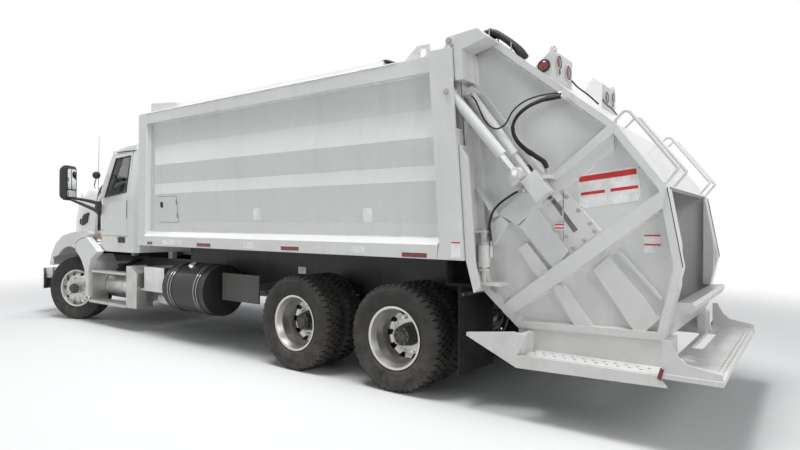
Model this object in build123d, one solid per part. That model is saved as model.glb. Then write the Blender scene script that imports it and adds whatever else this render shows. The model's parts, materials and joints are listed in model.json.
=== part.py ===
from build123d import *
import os
from math import atan2, cos, degrees, hypot, radians, sin, tan

os.makedirs("parts", exist_ok=True)

# Rear-loading garbage truck, three axles, conventional cab.
# +X forward, +Y left, +Z up, millimetres. X stations are counted from the rearmost axle
# and everything is moved at the end, so that the origin is on the ground under the middle.

# Running gaps
pin_gap = 0.4
seam_gap = 6.0
run_gap = 8.0

# Ground, axles and wheels
tyre_r = 505.0
tyre_w = 290.0
bead_r = 288.0
rim_flange_r = 298.0
rim_half_w = 105.0
tandem_pitch = 1330.0
front_axle_x = 6610.0
twin_outer_y = 1095.0
twin_pitch = 334.0
front_tyre_y = 1000.0
hub_holes = 10
hub_hole_r = 30.0
rear_hole_ring_r = 222.0
front_hole_ring_r = 232.0
stud_ring_r = 167.5

# Steering
kingpin_y = 870.0
kingpin_r = 30.0
steer_rest = 23.7
steer_arm = 180.0
tie_rod_z = 382.0

# Chassis
rail_outer_y = 430.0
rail_flange = 80.0
rail_web = 10.0
rail_top = 1020.0
rail_depth = 270.0
rail_rear_x = -760.0
rail_front_x = 7300.0
bumper_front_x = 7760.0
bumper_z = (440.0, 790.0)
bumper_half_w = 1200.0
platform_rear_x = -2700.0

# Refuse body
body_front_x = 4430.0
body_post_x = 4240.0
body_half_w = 1250.0
platform_half_w = body_half_w - 10
panel_inner_y = body_half_w - 140
rail_low_z = (1262.0, 1389.0)
sill_top_z = 1455.0
roof_low = 2930.0
roof_top = roof_low + 140
top_rail_y = body_half_w - 30
seam_top = (-620.0, roof_top + 40)
seam_low = (-760.0, rail_low_z[0])
hinge_x = -590.0
hinge_z = roof_top + 100
hinge_pin_r = 32.0
hinge_relief_r = 66.0
ear_y = (body_half_w - 155, body_half_w - 100)
# side panel section with its creases: distance from the centre line, height
panel_base_y = body_half_w - 100
panel_crest_y = body_half_w - 46
panel_section = [
    (body_half_w - 85, sill_top_z),
    (body_half_w - 85, 1577.0),
    (panel_crest_y, 1960.0),
    (body_half_w - 70, 2100.0),
    (panel_crest_y, 2350.0),
    (panel_base_y, 2615.0),
    (panel_base_y, roof_low),
]

# Tailgate outline from the seam round over the top: X, Z
tailgate_outline = [
    (-632.0, roof_top + 145),
    (-850.0, roof_top + 165),
    (-1930.0, 2360.0),
    (-2300.0, 1860.0),
    (-2410.0, 1270.0),
    (-2365.0, 1060.0),
    (-2290.0, 735.0),
    (-1150.0, 705.0),
    (-830.0, 985.0),
    (-772.0, 1262.0),
]
gate_outer_y = body_half_w - 250
gate_inner_y = body_half_w - 370
gate_sheet_y = body_half_w - 315
gate_frame_y = body_half_w - 35
gate_flange = 55.0
loading_z = (1000.0, 1840.0)

# Pressed plates and channels on the side wall: name, height off the sheet, outline (X, Z)
gate_plates = [
    ("main rib", 75.0, [(-1000, 870), (-1460, 1230), (-2300, 1850), (-2280, 1700), (-1500, 1100), (-1050, 770)]),
    (
        "upper band",
        45.0,
        [(-950, 1660), (-1200, 1870), (-1420, 1960), (-1930, 2380), (-1920, 2150), (-1530, 1870), (-1130, 1570)],
    ),
    ("band ridge", 67.0, [(-1420, 1960), (-1930, 2380), (-1930, 2280), (-1480, 1940)]),
    ("front rib", 43.0, [(-1150, 1560), (-1460, 1200), (-1570, 1360), (-1290, 1710)]),
    ("short rib", 43.0, [(-1140, 1370), (-1220, 1420), (-1420, 1180), (-1330, 1110)]),
    ("belly rib", 43.0, [(-1430, 1080), (-1530, 1080), (-1800, 730), (-1660, 710)]),
    ("rear rib", 43.0, [(-1770, 1220), (-1890, 1330), (-2250, 880), (-2110, 730)]),
    ("thin rib", 30.0, [(-1950, 1370), (-1970, 1380), (-2280, 1035), (-2262, 1020)]),
    ("leaf cover", 12.0, [(-1520, 1860), (-1820, 1530), (-1570, 1330), (-1500, 1420)]),
    ("lock plate", 65.0, [(-892, 1579), (-982, 1647), (-1056, 1589), (-914, 1392)]),
]

# Lamp boxes on the slope: inner side profile, and the three points of the sloping outer face
lamp_box_y = (450.0, gate_sheet_y - 5)
lamp_rear_x = -1410.0
# lamp rims on each box's rear face: Y, Z, radius
lamp_rims = [(800.0, 2944.0, 65.0), (796.0, 2867.0, 35.0), (575.0, 2905.0, 70.0)]

# openings in the rear platform: X range, Y range
deck_holes = [
    (-2447.0, -2343.0, 490.0, 750.0),
    (-2430.0, -2340.0, -860.0, 170.0),
]

# Lock cylinder at the foot of the seam
lock_x = -862.0
lock_y = body_half_w - 190
lock_z = (1170.0, 1415.0)
lock_shelf_z = (1050.0, 1076.0)

# Hoses on the left side wall, each from its fitting: hand-placed points of their routes,
# X, Y from the body's side face, Z
slide_hose_r = 11.0
port_hose_r = 6.5
lock_hose_r = 9.5
slide_hose_a = [
    (-1559.7, -192.0, 2606.0),
    (-1480.0, -192.0, 2605.0),
    (-1397.0, -192.0, 2598.0),
    (-1251.0, -192.0, 2557.0),
    (-1144.0, -192.0, 2478.0),
    (-1108.0, -192.0, 2380.0),
    (-1137.0, -192.0, 2285.0),
    (-1218.0, -192.0, 2195.0),
    (-1318.0, -192.0, 2125.0),
    (-1418.0, -192.0, 2062.0),
    (-1418.0, -192.0, 1975.0),
]
slide_hose_b = [
    (-1559.7, -168.0, 2588.0),
    (-1482.0, -168.0, 2587.0),
    (-1401.0, -168.0, 2580.0),
    (-1263.0, -168.0, 2541.0),
    (-1161.0, -168.0, 2467.0),
    (-1127.0, -168.0, 2383.0),
    (-1155.0, -168.0, 2296.0),
    (-1231.0, -168.0, 2211.0),
    (-1329.0, -168.0, 2142.0),
    (-1441.0, -168.0, 2073.0),
    (-1441.0, -168.0, 1975.0),
]
port_hose = [
    (-742.3, -126.0, 2703.2),
    (-795.0, -126.0, 2662.0),
    (-836.0, -126.0, 2568.0),
    (-885.0, -126.0, 2465.0),
    (-941.0, -128.0, 2400.0),
    (-1000.0, -132.0, 2375.0),
    (-1056.0, -138.0, 2392.0),
    (-1096.0, -142.0, 2434.0),
    (-1124.0, -142.0, 2498.0),
    (-1195.0, -142.0, 2563.0),
    (-1300.0, -142.0, 2604.0),
    (-1430.0, -142.0, 2618.0),
    (-1559.7, -142.0, 2615.0),
]
lock_hose = [
    (-1221.7, -190.0, 1852.0),
    (-1168.0, -190.0, 1852.0),
    (-1090.0, -190.0, 1806.0),
    (-1010.0, -190.0, 1757.0),
    (-948.0, -190.0, 1697.0),
    (-915.0, -190.0, 1616.0),
    (-905.0, -190.0, 1532.0),
    (-928.0, -190.0, 1452.0),
    (-928.0, -190.0, 1385.0),
]

# Lift cylinders
lift_y = body_half_w - 72
lift_pin = (-587.0, 2721.0)
lift_eye = (-1215.0, 1990.0)
lift_barrel_r = 46.0
lift_rod_r = 30.0
lift_barrel_len = 760.0

# Packer
shoe_centre = (-1345.0, 1885.0)
slide_cyl_top = (-735.0, 2690.0)
slide_cyl_y = body_half_w - 185
slide_cyl_r = 46.0
shoe_outer_y = body_half_w - 132
slide_rod_r = 30.0
sweep_pivot = (-1450.0, 1950.0)
sweep_len = 640.0
packer_up = 180.0
packer_down = 400.0
pack_half_w = gate_inner_y - 20
stem_half = 50.0
stem_t = 30.0
packer_dir_deg = degrees(atan2(shoe_centre[1] - slide_cyl_top[1], shoe_centre[0] - slide_cyl_top[0]))

# Cab
cab_half_w = 1050.0
cab_rear_x = 4800.0
cab_front_x = 6100.0
cab_floor_z = 1130.0
cab_roof_z = 2850.0
cab_wall = 55.0
glass_t = 8.0
door_hinge = (5762.0, cab_half_w + 10)
door_outline = [
    (5020.0, 1365.0),
    (5765.0, 1365.0),
    (5765.0, 1965.0),
    (5535.0, 2620.0),
    (5020.0, 2650.0),
]
window_outline = [
    (5090.0, 2030.0),
    (5705.0, 1965.0),
    (5500.0, 2550.0),
    (5090.0, 2570.0),
]

# Hood
hood_rear_x = 6125.0
hood_nose_x = 7520.0
hood_hinge = (7500.0, 870.0)
hood_ear_y = 404.0
hood_pin_r = 14.0
arch_centre = (6605.0, 590.0)
arch_r = 590.0
fender_outer_y = cab_half_w + 120
# front view of the bonnet: distance from the centre line, height
hood_section = [
    (cab_half_w - 40, 800.0),
    (cab_half_w - 50, 1700.0),
    (cab_half_w - 100, 1960.0),
    (cab_half_w - 230, 2140.0),
    (cab_half_w - 490, 2260.0),
    (cab_half_w - 750, 2300.0),
]
# plan of the bonnet: station, half width
hood_plan = [
    (hood_rear_x - 5, cab_half_w - 65),
    (6500.0, cab_half_w - 90),
    (7200.0, cab_half_w - 290),
    (7420.0, 640.0),
    (hood_nose_x, 420.0),
]

origin_x = (bumper_front_x + platform_rear_x) / 2
nodes = {}


def box(x0, x1, y0, y1, z0, z1):
    """Block between three pairs of coordinates."""
    size = Box(x1 - x0, y1 - y0, z1 - z0, align=(Align.MIN, Align.MIN, Align.MIN))
    return Pos(x0, y0, z0) * size


def prism_y(points, y0, y1):
    """Side-view outline (X, Z) pushed across from y0 to y1."""
    line = Polyline(*[(x, y0, z) for x, z in points], close=True)
    return extrude(make_face(line), y1 - y0, dir=(0, 1, 0))


def prism_x(points, x0, x1):
    """Front-view outline (Y, Z) pushed along from x0 to x1."""
    line = Polyline(*[(x0, y, z) for y, z in points], close=True)
    return extrude(make_face(line), x1 - x0, dir=(1, 0, 0))


def prism_z(points, z0, z1):
    """Plan outline (X, Y) pushed up from z0 to z1."""
    line = Polyline(*[(x, y, z0) for x, y in points], close=True)
    return extrude(make_face(line), z1 - z0, dir=(0, 0, 1))


def rod(a, b, r):
    """Round bar from point a to point b."""
    span = Vector(*b) - Vector(*a)
    bar = Cylinder(r, span.length, align=(Align.CENTER, Align.CENTER, Align.MIN))
    return Plane(origin=a, z_dir=span) * bar


def bent_tube(points, bend_r, r):
    """Round tube through points with rounded bends."""
    path = FilletPolyline(*points, radius=bend_r)
    return sweep(Plane(origin=path @ 0, z_dir=path % 0) * Circle(r), path=path)


def hose(points, r):
    """Round hose: straight runs joined by arcs as large as the shorter run allows."""
    route = [(x, body_half_w + y, z) for x, y, z in points]
    bends = []
    for before, corner, after in zip(route, route[1:], route[2:]):
        run_in = Vector(*corner) - Vector(*before)
        run_out = Vector(*after) - Vector(*corner)
        half_turn = radians(run_in.get_angle(run_out)) / 2
        bends.append(0.45 * min(run_in.length, run_out.length) / tan(half_turn))
    path = FilletPolyline(*route, radius=bends)
    return sweep(Plane(origin=path @ 0, z_dir=path % 0) * Circle(r), path=path)


def beam(a, b, across, height, mid_y):
    """Square bar along a line in a side plane: across is its Y width."""
    dx, dz = b[0] - a[0], b[1] - a[1]
    span = hypot(dx, dz)
    nx, nz = -dz / span * height / 2, dx / span * height / 2
    corners = [
        (a[0] + nx, a[1] + nz),
        (b[0] + nx, b[1] + nz),
        (b[0] - nx, b[1] - nz),
        (a[0] - nx, a[1] - nz),
    ]
    return prism_y(corners, mid_y - across / 2, mid_y + across / 2)


def both(shape):
    """A piece and its mirror image on the other side."""
    return shape + mirror(shape, about=Plane.XZ)


def right(shape):
    return mirror(shape, about=Plane.XZ)


def spun(points):
    """Section (radius, distance outboard) turned about the wheel axis, then laid along Y."""
    line = Polyline(*[(r, 0, a) for r, a in points], close=True)
    return Rot(X=-90) * revolve(make_face(line), Axis.Z)


def inset(points, gap):
    """A closed outline with every side moved inwards by a gap."""
    count = len(points)
    area = sum(points[i - 1][0] * points[i][1] - points[i][0] * points[i - 1][1] for i in range(count))
    turn = gap if area > 0 else -gap
    sides = []
    for i in range(count):
        (x0, z0), (x1, z1) = points[i - 1], points[i]
        span = hypot(x1 - x0, z1 - z0)
        nx, nz = -(z1 - z0) / span, (x1 - x0) / span
        sides.append((nx, nz, nx * x0 + nz * z0 + turn))
    corners = []
    for i in range(count):
        a, b = sides[i], sides[(i + 1) % count]
        det = a[0] * b[1] - a[1] * b[0]
        corners.append(((a[2] * b[1] - a[1] * b[2]) / det, (a[0] * b[2] - a[2] * b[0]) / det))
    return corners


def along(start, heading_deg, distance, aside=0.0):
    """Point at a distance along a heading in the side plane, and aside to its left."""
    c, s = cos(radians(heading_deg)), sin(radians(heading_deg))
    return (start[0] + distance * c - aside * s, start[1] + distance * s + aside * c)


# Wheels


def tyre():
    """Tyre section with rounded shoulders and bulged side walls, turned about Y."""
    half = tyre_w / 2
    with BuildSketch(Plane.XZ) as section:
        with BuildLine():
            Line((bead_r, 1 - rim_half_w), (bead_r, rim_half_w - 1))
            Line((bead_r, rim_half_w - 1), (rim_flange_r + 2, rim_half_w - 1))
            ThreePointArc((rim_flange_r + 2, rim_half_w - 1), (395, half), (tyre_r - 32, half - 18))
            ThreePointArc((tyre_r - 32, half - 18), (tyre_r - 8, half - 24), (tyre_r, half - 42))
            Line((tyre_r, half - 42), (tyre_r, 42 - half))
            ThreePointArc((tyre_r, 42 - half), (tyre_r - 8, 24 - half), (tyre_r - 32, 18 - half))
            ThreePointArc((tyre_r - 32, 18 - half), (395, -half), (rim_flange_r + 2, 1 - rim_half_w))
            Line((rim_flange_r + 2, 1 - rim_half_w), (bead_r, 1 - rim_half_w))
        make_face()
    return Rot(X=-90) * revolve(section.sketch, Axis.Z)


def rim_barrel(shift):
    """Drop-centre rim between its two flanges."""
    w = rim_half_w
    bead = bead_r - 0.5
    section = [
        (rim_flange_r, -w - 12),
        (rim_flange_r, -w - 4),
        (bead, -w),
        (bead, -w + 40),
        (bead - 22, -w + 60),
        (bead - 22, w - 60),
        (bead, w - 40),
        (bead, w),
        (rim_flange_r, w + 4),
        (rim_flange_r, w + 12),
        (bead - 12, w + 6),
        (bead - 36, w - 55),
        (bead - 36, 55 - w),
        (bead - 12, -w - 6),
    ]
    return spun([(r, a + shift) for r, a in section])


def holes(count, ring_r, r, a0, a1, phase=0.0):
    """Ring of through holes along the wheel axis."""
    cut = []
    for i in range(count):
        t = radians(360.0 / count * i + phase)
        cut.append(rod((ring_r * cos(t), a0, ring_r * sin(t)), (ring_r * cos(t), a1, ring_r * sin(t)), r))
    return cut


def front_rim():
    """Steer-axle disc rim: dished out to the face, ten hand holes, hub with cap."""
    barrel = rim_barrel(0)
    disc = spun(
        [
            (255.0, 44.0),
            (254.0, 62.0),
            (215.0, 88.0),
            (195.0, 92.0),
            (120.0, 92.0),
            (120.0, 70.0),
            (190.0, 70.0),
            (212.0, 66.0),
            (240.0, 46.0),
        ]
    )
    hub = spun([(41.0, -25.0), (72.0, -25.0), (120.0, 40.0), (120.0, 92.0), (84.0, 92.0), (80.0, 150.0), (41.0, 150.0)])
    cap = spun([(0.001, 150.0), (78.0, 150.0), (78.0, 178.0), (60.0, 190.0), (0.001, 190.0)])
    body = barrel + disc + hub + cap
    for hole in holes(hub_holes, front_hole_ring_r, hub_hole_r, 20, 130):
        body -= hole
    return body


def twin_rim():
    """Two rims back to back on one hub, outer one deep-dished."""
    mid = -twin_pitch / 2
    body = rim_barrel(0) + rim_barrel(-twin_pitch)
    outer_disc = spun(
        [
            (256.0, -45.0),
            (264.0, -70.0),
            (218.0, mid + 24),
            (190.0, mid),
            (110.0, mid),
            (110.0, mid + 12),
            (190.0, mid + 14),
            (226.0, mid + 40),
        ]
    )
    inner_disc = spun(
        [
            (256.0, -twin_pitch + 45.0),
            (264.0, -twin_pitch + 70.0),
            (218.0, mid - 24),
            (190.0, mid),
            (110.0, mid),
            (110.0, mid - 12),
            (190.0, mid - 14),
            (226.0, mid - 40),
        ]
    )
    hub = spun(
        [
            (61.0, mid - 170),
            (112.0, mid - 170),
            (112.0, mid + 12),
            (108.0, mid + 60),
            (90.0, mid + 150),
            (70.0, mid + 158),
            (0.001, mid + 158),
            (0.001, mid + 140),
            (61.0, mid + 140),
        ]
    )
    drum = spun([(112.0, mid - 30), (206.0, mid - 46), (206.0, mid - 230), (194.0, mid - 230), (194.0, mid - 62), (112.0, mid - 46)])
    body += outer_disc + inner_disc + hub + drum
    for hole in holes(hub_holes, rear_hole_ring_r, hub_hole_r, mid - 60, mid + 60):
        body -= hole
    return body


def place_wheel(shape, x, y, side):
    """Set a wheel, modelled with +Y outboard, on the left or mirrored on the right."""
    placed = Pos(x, y, tyre_r) * shape
    if side < 0:
        placed = right(placed)
    return placed


def steered(shape, side):
    """Turn a straight-ahead piece about its kingpin to the parked steering angle."""
    pin = (front_axle_x, side * kingpin_y, 0)
    return Pos(*pin) * Rot(Z=steer_rest) * Pos(-pin[0], -pin[1], 0) * shape


def wheels():
    tyre_shape = tyre()
    front_shape = front_rim()
    twin_tyres = tyre_shape + Pos(0, -twin_pitch, 0) * tyre_shape
    twin_shape = twin_rim()
    for name, side in (("left", 1), ("right", -1)):
        rim = place_wheel(front_shape, front_axle_x, front_tyre_y, side)
        rubber = place_wheel(tyre_shape, front_axle_x, front_tyre_y, side)
        nodes[f"front_rim_{name}"] = steered(rim, side)
        nodes[f"front_tyre_{name}"] = steered(rubber, side)
        for axle, x in (("mid", tandem_pitch), ("rear", 0.0)):
            nodes[f"{axle}_rims_{name}"] = place_wheel(twin_shape, x, twin_outer_y, side)
            nodes[f"{axle}_tyres_{name}"] = place_wheel(twin_tyres, x, twin_outer_y, side)


# Front axle and steering


def knuckle():
    """Left steering knuckle, straight ahead: forked ears, kingpin, spindle and rear arm."""
    pin = (front_axle_x, kingpin_y)
    ears = []
    for z0 in (395.0, 567.0):
        ears.append(Pos(pin[0], pin[1], z0) * Cylinder(52, 40, align=(Align.CENTER, Align.CENTER, Align.MIN)))
        ears.append(box(pin[0] - 52, pin[0] + 52, pin[1], pin[1] + 100, z0, z0 + 40))
    back = box(pin[0] - 52, pin[0] + 52, pin[1] + 62, pin[1] + 100, 395, 607)
    king = rod((pin[0], pin[1], 395), (pin[0], pin[1], 607), kingpin_r)
    spindle = rod((pin[0], pin[1] + 95, tyre_r), (pin[0], pin[1] + 240, tyre_r), 41.0 - pin_gap)
    arm = box(pin[0] - steer_arm, pin[0] - 40, pin[1] - 22, pin[1] + 22, 405, 435)
    arm += box(pin[0] - 60, pin[0] - 20, pin[1] - 22, pin[1] + 22, 405, 435)
    arm_end = Pos(pin[0] - steer_arm, pin[1], 405) * Cylinder(26, 30, align=(Align.CENTER, Align.CENTER, Align.MIN))
    return ears[0] + ears[1] + ears[2] + ears[3] + back + king + spindle + arm + arm_end


def front_axle():
    """Forged beam with dropped middle, eyes at the kingpins, and the two leaf springs with hangers."""
    x = front_axle_x
    half = [
        (0.0, 400.0),
        (480.0, 400.0),
        (640.0, 455.0),
        (kingpin_y - 40, 455.0),
        (kingpin_y - 40, 547.0),
        (600.0, 540.0),
        (480.0, 500.0),
        (0.0, 500.0),
    ]
    beam_half = prism_x(half, x - 48, x + 48)
    eye = rod((x, kingpin_y, 441), (x, kingpin_y, 561), 52)
    beam_half += eye
    beam_half -= rod((x, kingpin_y, 300), (x, kingpin_y, 700), kingpin_r + pin_gap)
    axle = both(beam_half)
    leaf = []
    for i in range(4):
        reach = 620 - 130 * i
        leaf.append(box(x - reach, x + reach, 350, 420, 560 - 20 * i, 580 - 20 * i))
    spring = leaf[0] + leaf[1] + leaf[2] + leaf[3]
    hangers = box(x + 540, x + 620, 350, 420, 580, rail_top - rail_depth)
    hangers += box(x - 620, x - 540, 350, 420, 580, rail_top - rail_depth)
    return axle + both(spring + hangers)


def tie_rod():
    """Bar between the two steering arms, with a ball joint cup at each end."""
    ends = []
    for side in (1, -1):
        ends.append((front_axle_x - steer_arm * cos(radians(steer_rest)), side * kingpin_y - steer_arm * sin(radians(steer_rest)), tie_rod_z))
    bar = rod(ends[0], ends[1], 20)
    for end in ends:
        bar += rod((end[0], end[1], tie_rod_z - 22), (end[0], end[1], 404.7), 26)
    return bar


def steering():
    nodes["front_axle"] = front_axle()
    left_knuckle = knuckle()
    nodes["knuckle_left"] = steered(left_knuckle, 1)
    nodes["knuckle_right"] = steered(right(left_knuckle), -1)
    nodes["tie_rod"] = tie_rod()


# Chassis


def chassis():
    """Two channel rails with crossmembers and the body longitudinals on top."""
    y1 = rail_outer_y
    z0, z1 = rail_top - rail_depth, rail_top
    web = box(rail_rear_x, rail_front_x, y1 - rail_web, y1, z0, z1)
    flanges = box(rail_rear_x, rail_front_x, y1 - rail_flange, y1, z1 - rail_web, z1)
    flanges += box(rail_rear_x, rail_front_x, y1 - rail_flange, y1, z0, z0 + rail_web)
    rail = web + flanges
    frame = both(rail)
    inner = y1 - rail_web
    for x in (-700.0, -300.0, 680.0, 1700.0, 2900.0, 4000.0):
        frame += box(x - 40, x + 40, -inner, inner, z0 + 40, z1 - 40)
    frame += box(rail_front_x - 60, rail_front_x, -inner, inner, z0 + 40, z1 - 40)
    frame += box(7060, 7200, -inner, inner, z0 + rail_web, 779.7)
    skid = both(box(rail_rear_x + 200, body_front_x - 60, y1 - 70, y1, z1, rail_low_z[0]))
    for x in (-650.0, 1000.0, 2600.0, 4200.0):
        skid += box(x - 35, x + 35, -(y1 - 70), y1 - 70, z1 + 60, rail_low_z[0])
    nodes["frame_rails"] = frame + skid


def rear_axles():
    """Tandem axle housings with their differentials, spindles and leaf springs."""
    mid = twin_outer_y - twin_pitch / 2
    housings = None
    for x in (0.0, tandem_pitch):
        tube = rod((x, -560, tyre_r), (x, 560, tyre_r), 75)
        bowl = Pos(x, 0, tyre_r) * Sphere(205)
        nose = rod((x, 0, tyre_r), (x + 330, 0, tyre_r + 40), 90)
        spindle = rod((x, -mid - 120, tyre_r), (x, mid + 120, tyre_r), 61.0 - pin_gap)
        one = tube + bowl + nose + spindle
        housings = one if housings is None else housings + one
    middle = tandem_pitch / 2
    low = tyre_r + 65
    seat_z = rail_top - rail_depth - 0.3
    beams = None
    for side in (1, -1):
        y = side * (rail_outer_y - 42)
        saddle = prism_y([(middle - 120, low), (middle + 120, low), (middle + 60, seat_z), (middle - 60, seat_z)], y - 40, y + 40)
        bar = prism_y(
            [(-70, low), (-70, low + 70), (middle, seat_z - 35), (tandem_pitch + 70, low + 70), (tandem_pitch + 70, low), (middle, low + 70)],
            y - 40,
            y + 40,
        )
        one = saddle + bar
        beams = one if beams is None else beams + one
    beams += box(middle - 50, middle + 50, -400, 400, seat_z - 100, seat_z - 10)
    nodes["rear_axles"] = housings + beams


def power():
    """Engine as one plain block with the radiator ahead, gearbox and drive shafts behind."""
    engine = box(5750, 6900, -330, 330, 620, 1080) + box(6150, 6850, -260, 260, 1080, 1480)
    radiator = box(7080, 7180, -345, 345, 780, 1480)
    mounts = both(box(6150, 6250, 330, rail_outer_y - rail_web - 0.3, 800, 860))
    nodes["engine_block"] = engine + mounts + radiator
    gearbox = prism_x([(-200, 640), (200, 640), (200, 960), (-200, 960)], 5050, 5749.7)
    shaft = rod((tandem_pitch + 335, 0, tyre_r + 42), (5060, 0, 760), 55)
    inter = rod((335.5, 0, tyre_r + 42), (tandem_pitch - 205.3, 0, tyre_r + 42), 45)
    nodes["driveline"] = gearbox + shaft + inter


def bumper():
    """Wrapped bright bumper: curved in plan, hollow behind."""
    half_w = bumper_half_w
    outer = [
        (bumper_front_x, 0),
        (bumper_front_x - 25, 520),
        (bumper_front_x - 110, 930),
        (bumper_front_x - 250, half_w),
        (bumper_front_x - 300, half_w),
        (bumper_front_x - 160, 900),
        (bumper_front_x - 60, 500),
        (bumper_front_x - 40, 0),
    ]
    shell = both(prism_z(outer, bumper_z[0], bumper_z[1]))
    brackets = both(box(rail_front_x, bumper_front_x - 45, rail_outer_y - 60, rail_outer_y - 30, 560, 760))
    brackets += both(box(rail_front_x - 55, rail_front_x, rail_outer_y + 0.3, rail_outer_y + 14, 560, rail_top - 60))
    brackets += both(box(rail_front_x, rail_front_x + 60, rail_outer_y - 60, rail_outer_y + 14, 560, 760))
    x, z = hood_hinge
    ear = prism_y([(x - 50, 755), (x + 40, 755), (x + 22, z), (x - 22, z)], hood_ear_y - 32, hood_ear_y - 4)
    ear += rod((x, hood_ear_y - 32, z), (x, hood_ear_y - 4, z), 24)
    ear -= rod((x, hood_ear_y - 60, z), (x, hood_ear_y + 40, z), hood_pin_r + pin_gap)
    brackets += both(ear)
    nodes["bumper"] = shell + brackets


# Tanks, steps and side boxes


def side_gear():
    """What hangs along the rails between the front wheel and the tandem."""
    y0 = rail_outer_y + 0.3
    treads = box(4870, 5880, 1010, 1160, 805, 835) + box(4870, 5960, 940, 1160, 335, 375)
    plate = prism_y([(4590, 345), (4870, 345), (4870, 940), (4780, 950), (4590, 850)], 900, 1150)
    riser = box(5880, 5895, 900, 1150, 375, 800)
    steps = treads + plate + riser
    carriers = box(4600, 4680, y0, 900, 700, 780) + box(5880, 5895, y0, 900, 640, 800)
    nodes["cab_steps"] = both(steps + carriers)
    drum = rod((4885, 740, 590), (5870, 740, 590), 205)
    strap = rod((5080, 740, 590), (5130, 740, 590), 212) + rod((5380, 740, 590), (5430, 740, 590), 212)
    hanger = box(5060, 5450, y0, 535.5, 640, 800)
    nodes["exhaust_drums"] = both(drum + strap + hanger)
    case = box(4000, 4500, y0, 1090, 640, 950)
    shelf = box(4000, 4580, y0, 1090, 610, 640)
    air_tank = rod((3915, 820, 480), (4420, 820, 480), 110)
    air_strap = box(4100, 4140, 700, 940, 480, 610)
    nodes["battery_boxes"] = both(case + shelf + air_tank + air_strap)
    fuel = rod((3000, 850, 700), (3900, 850, 700), 330)
    bands = rod((3130, 850, 700), (3190, 850, 700), 338) + rod((3700, 850, 700), (3760, 850, 700), 338)
    nodes["fuel_tanks"] = both(fuel + bands + box(3140, 3750, y0, 540, 760, 900))
    panel = box(2200, 2900, 940, 960, 600, 940)
    panel += box(2200, 2240, y0, 940, 760, 840) + box(2860, 2900, y0, 940, 760, 840)
    nodes["side_plates"] = both(panel)


def guards():
    """Mud flaps behind the tandem with their black hanger plates."""
    flap_y = body_half_w - 15
    plate_y = body_half_w - 50
    flap = box(-720, -708, 600, flap_y, 260, 1000)
    hanger = box(-800, -560, 560, plate_y, 1035, 1055)
    hanger += box(-720, -700, rail_outer_y + 0.3, 560, 940, 1055)
    hanger += box(-720, -700, 560, flap_y, 1000, 1035)
    post = box(-580, -560, 560, plate_y, 1055, rail_low_z[0] - 0.3)
    nodes["mud_flaps"] = both(flap + hanger + post)


# Refuse body


def seam_at(z):
    """X of the slanted rear face of the body at a height."""
    t = (z - seam_low[1]) / (seam_top[1] - seam_low[1])
    return seam_low[0] + t * (seam_top[0] - seam_low[0])


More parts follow.
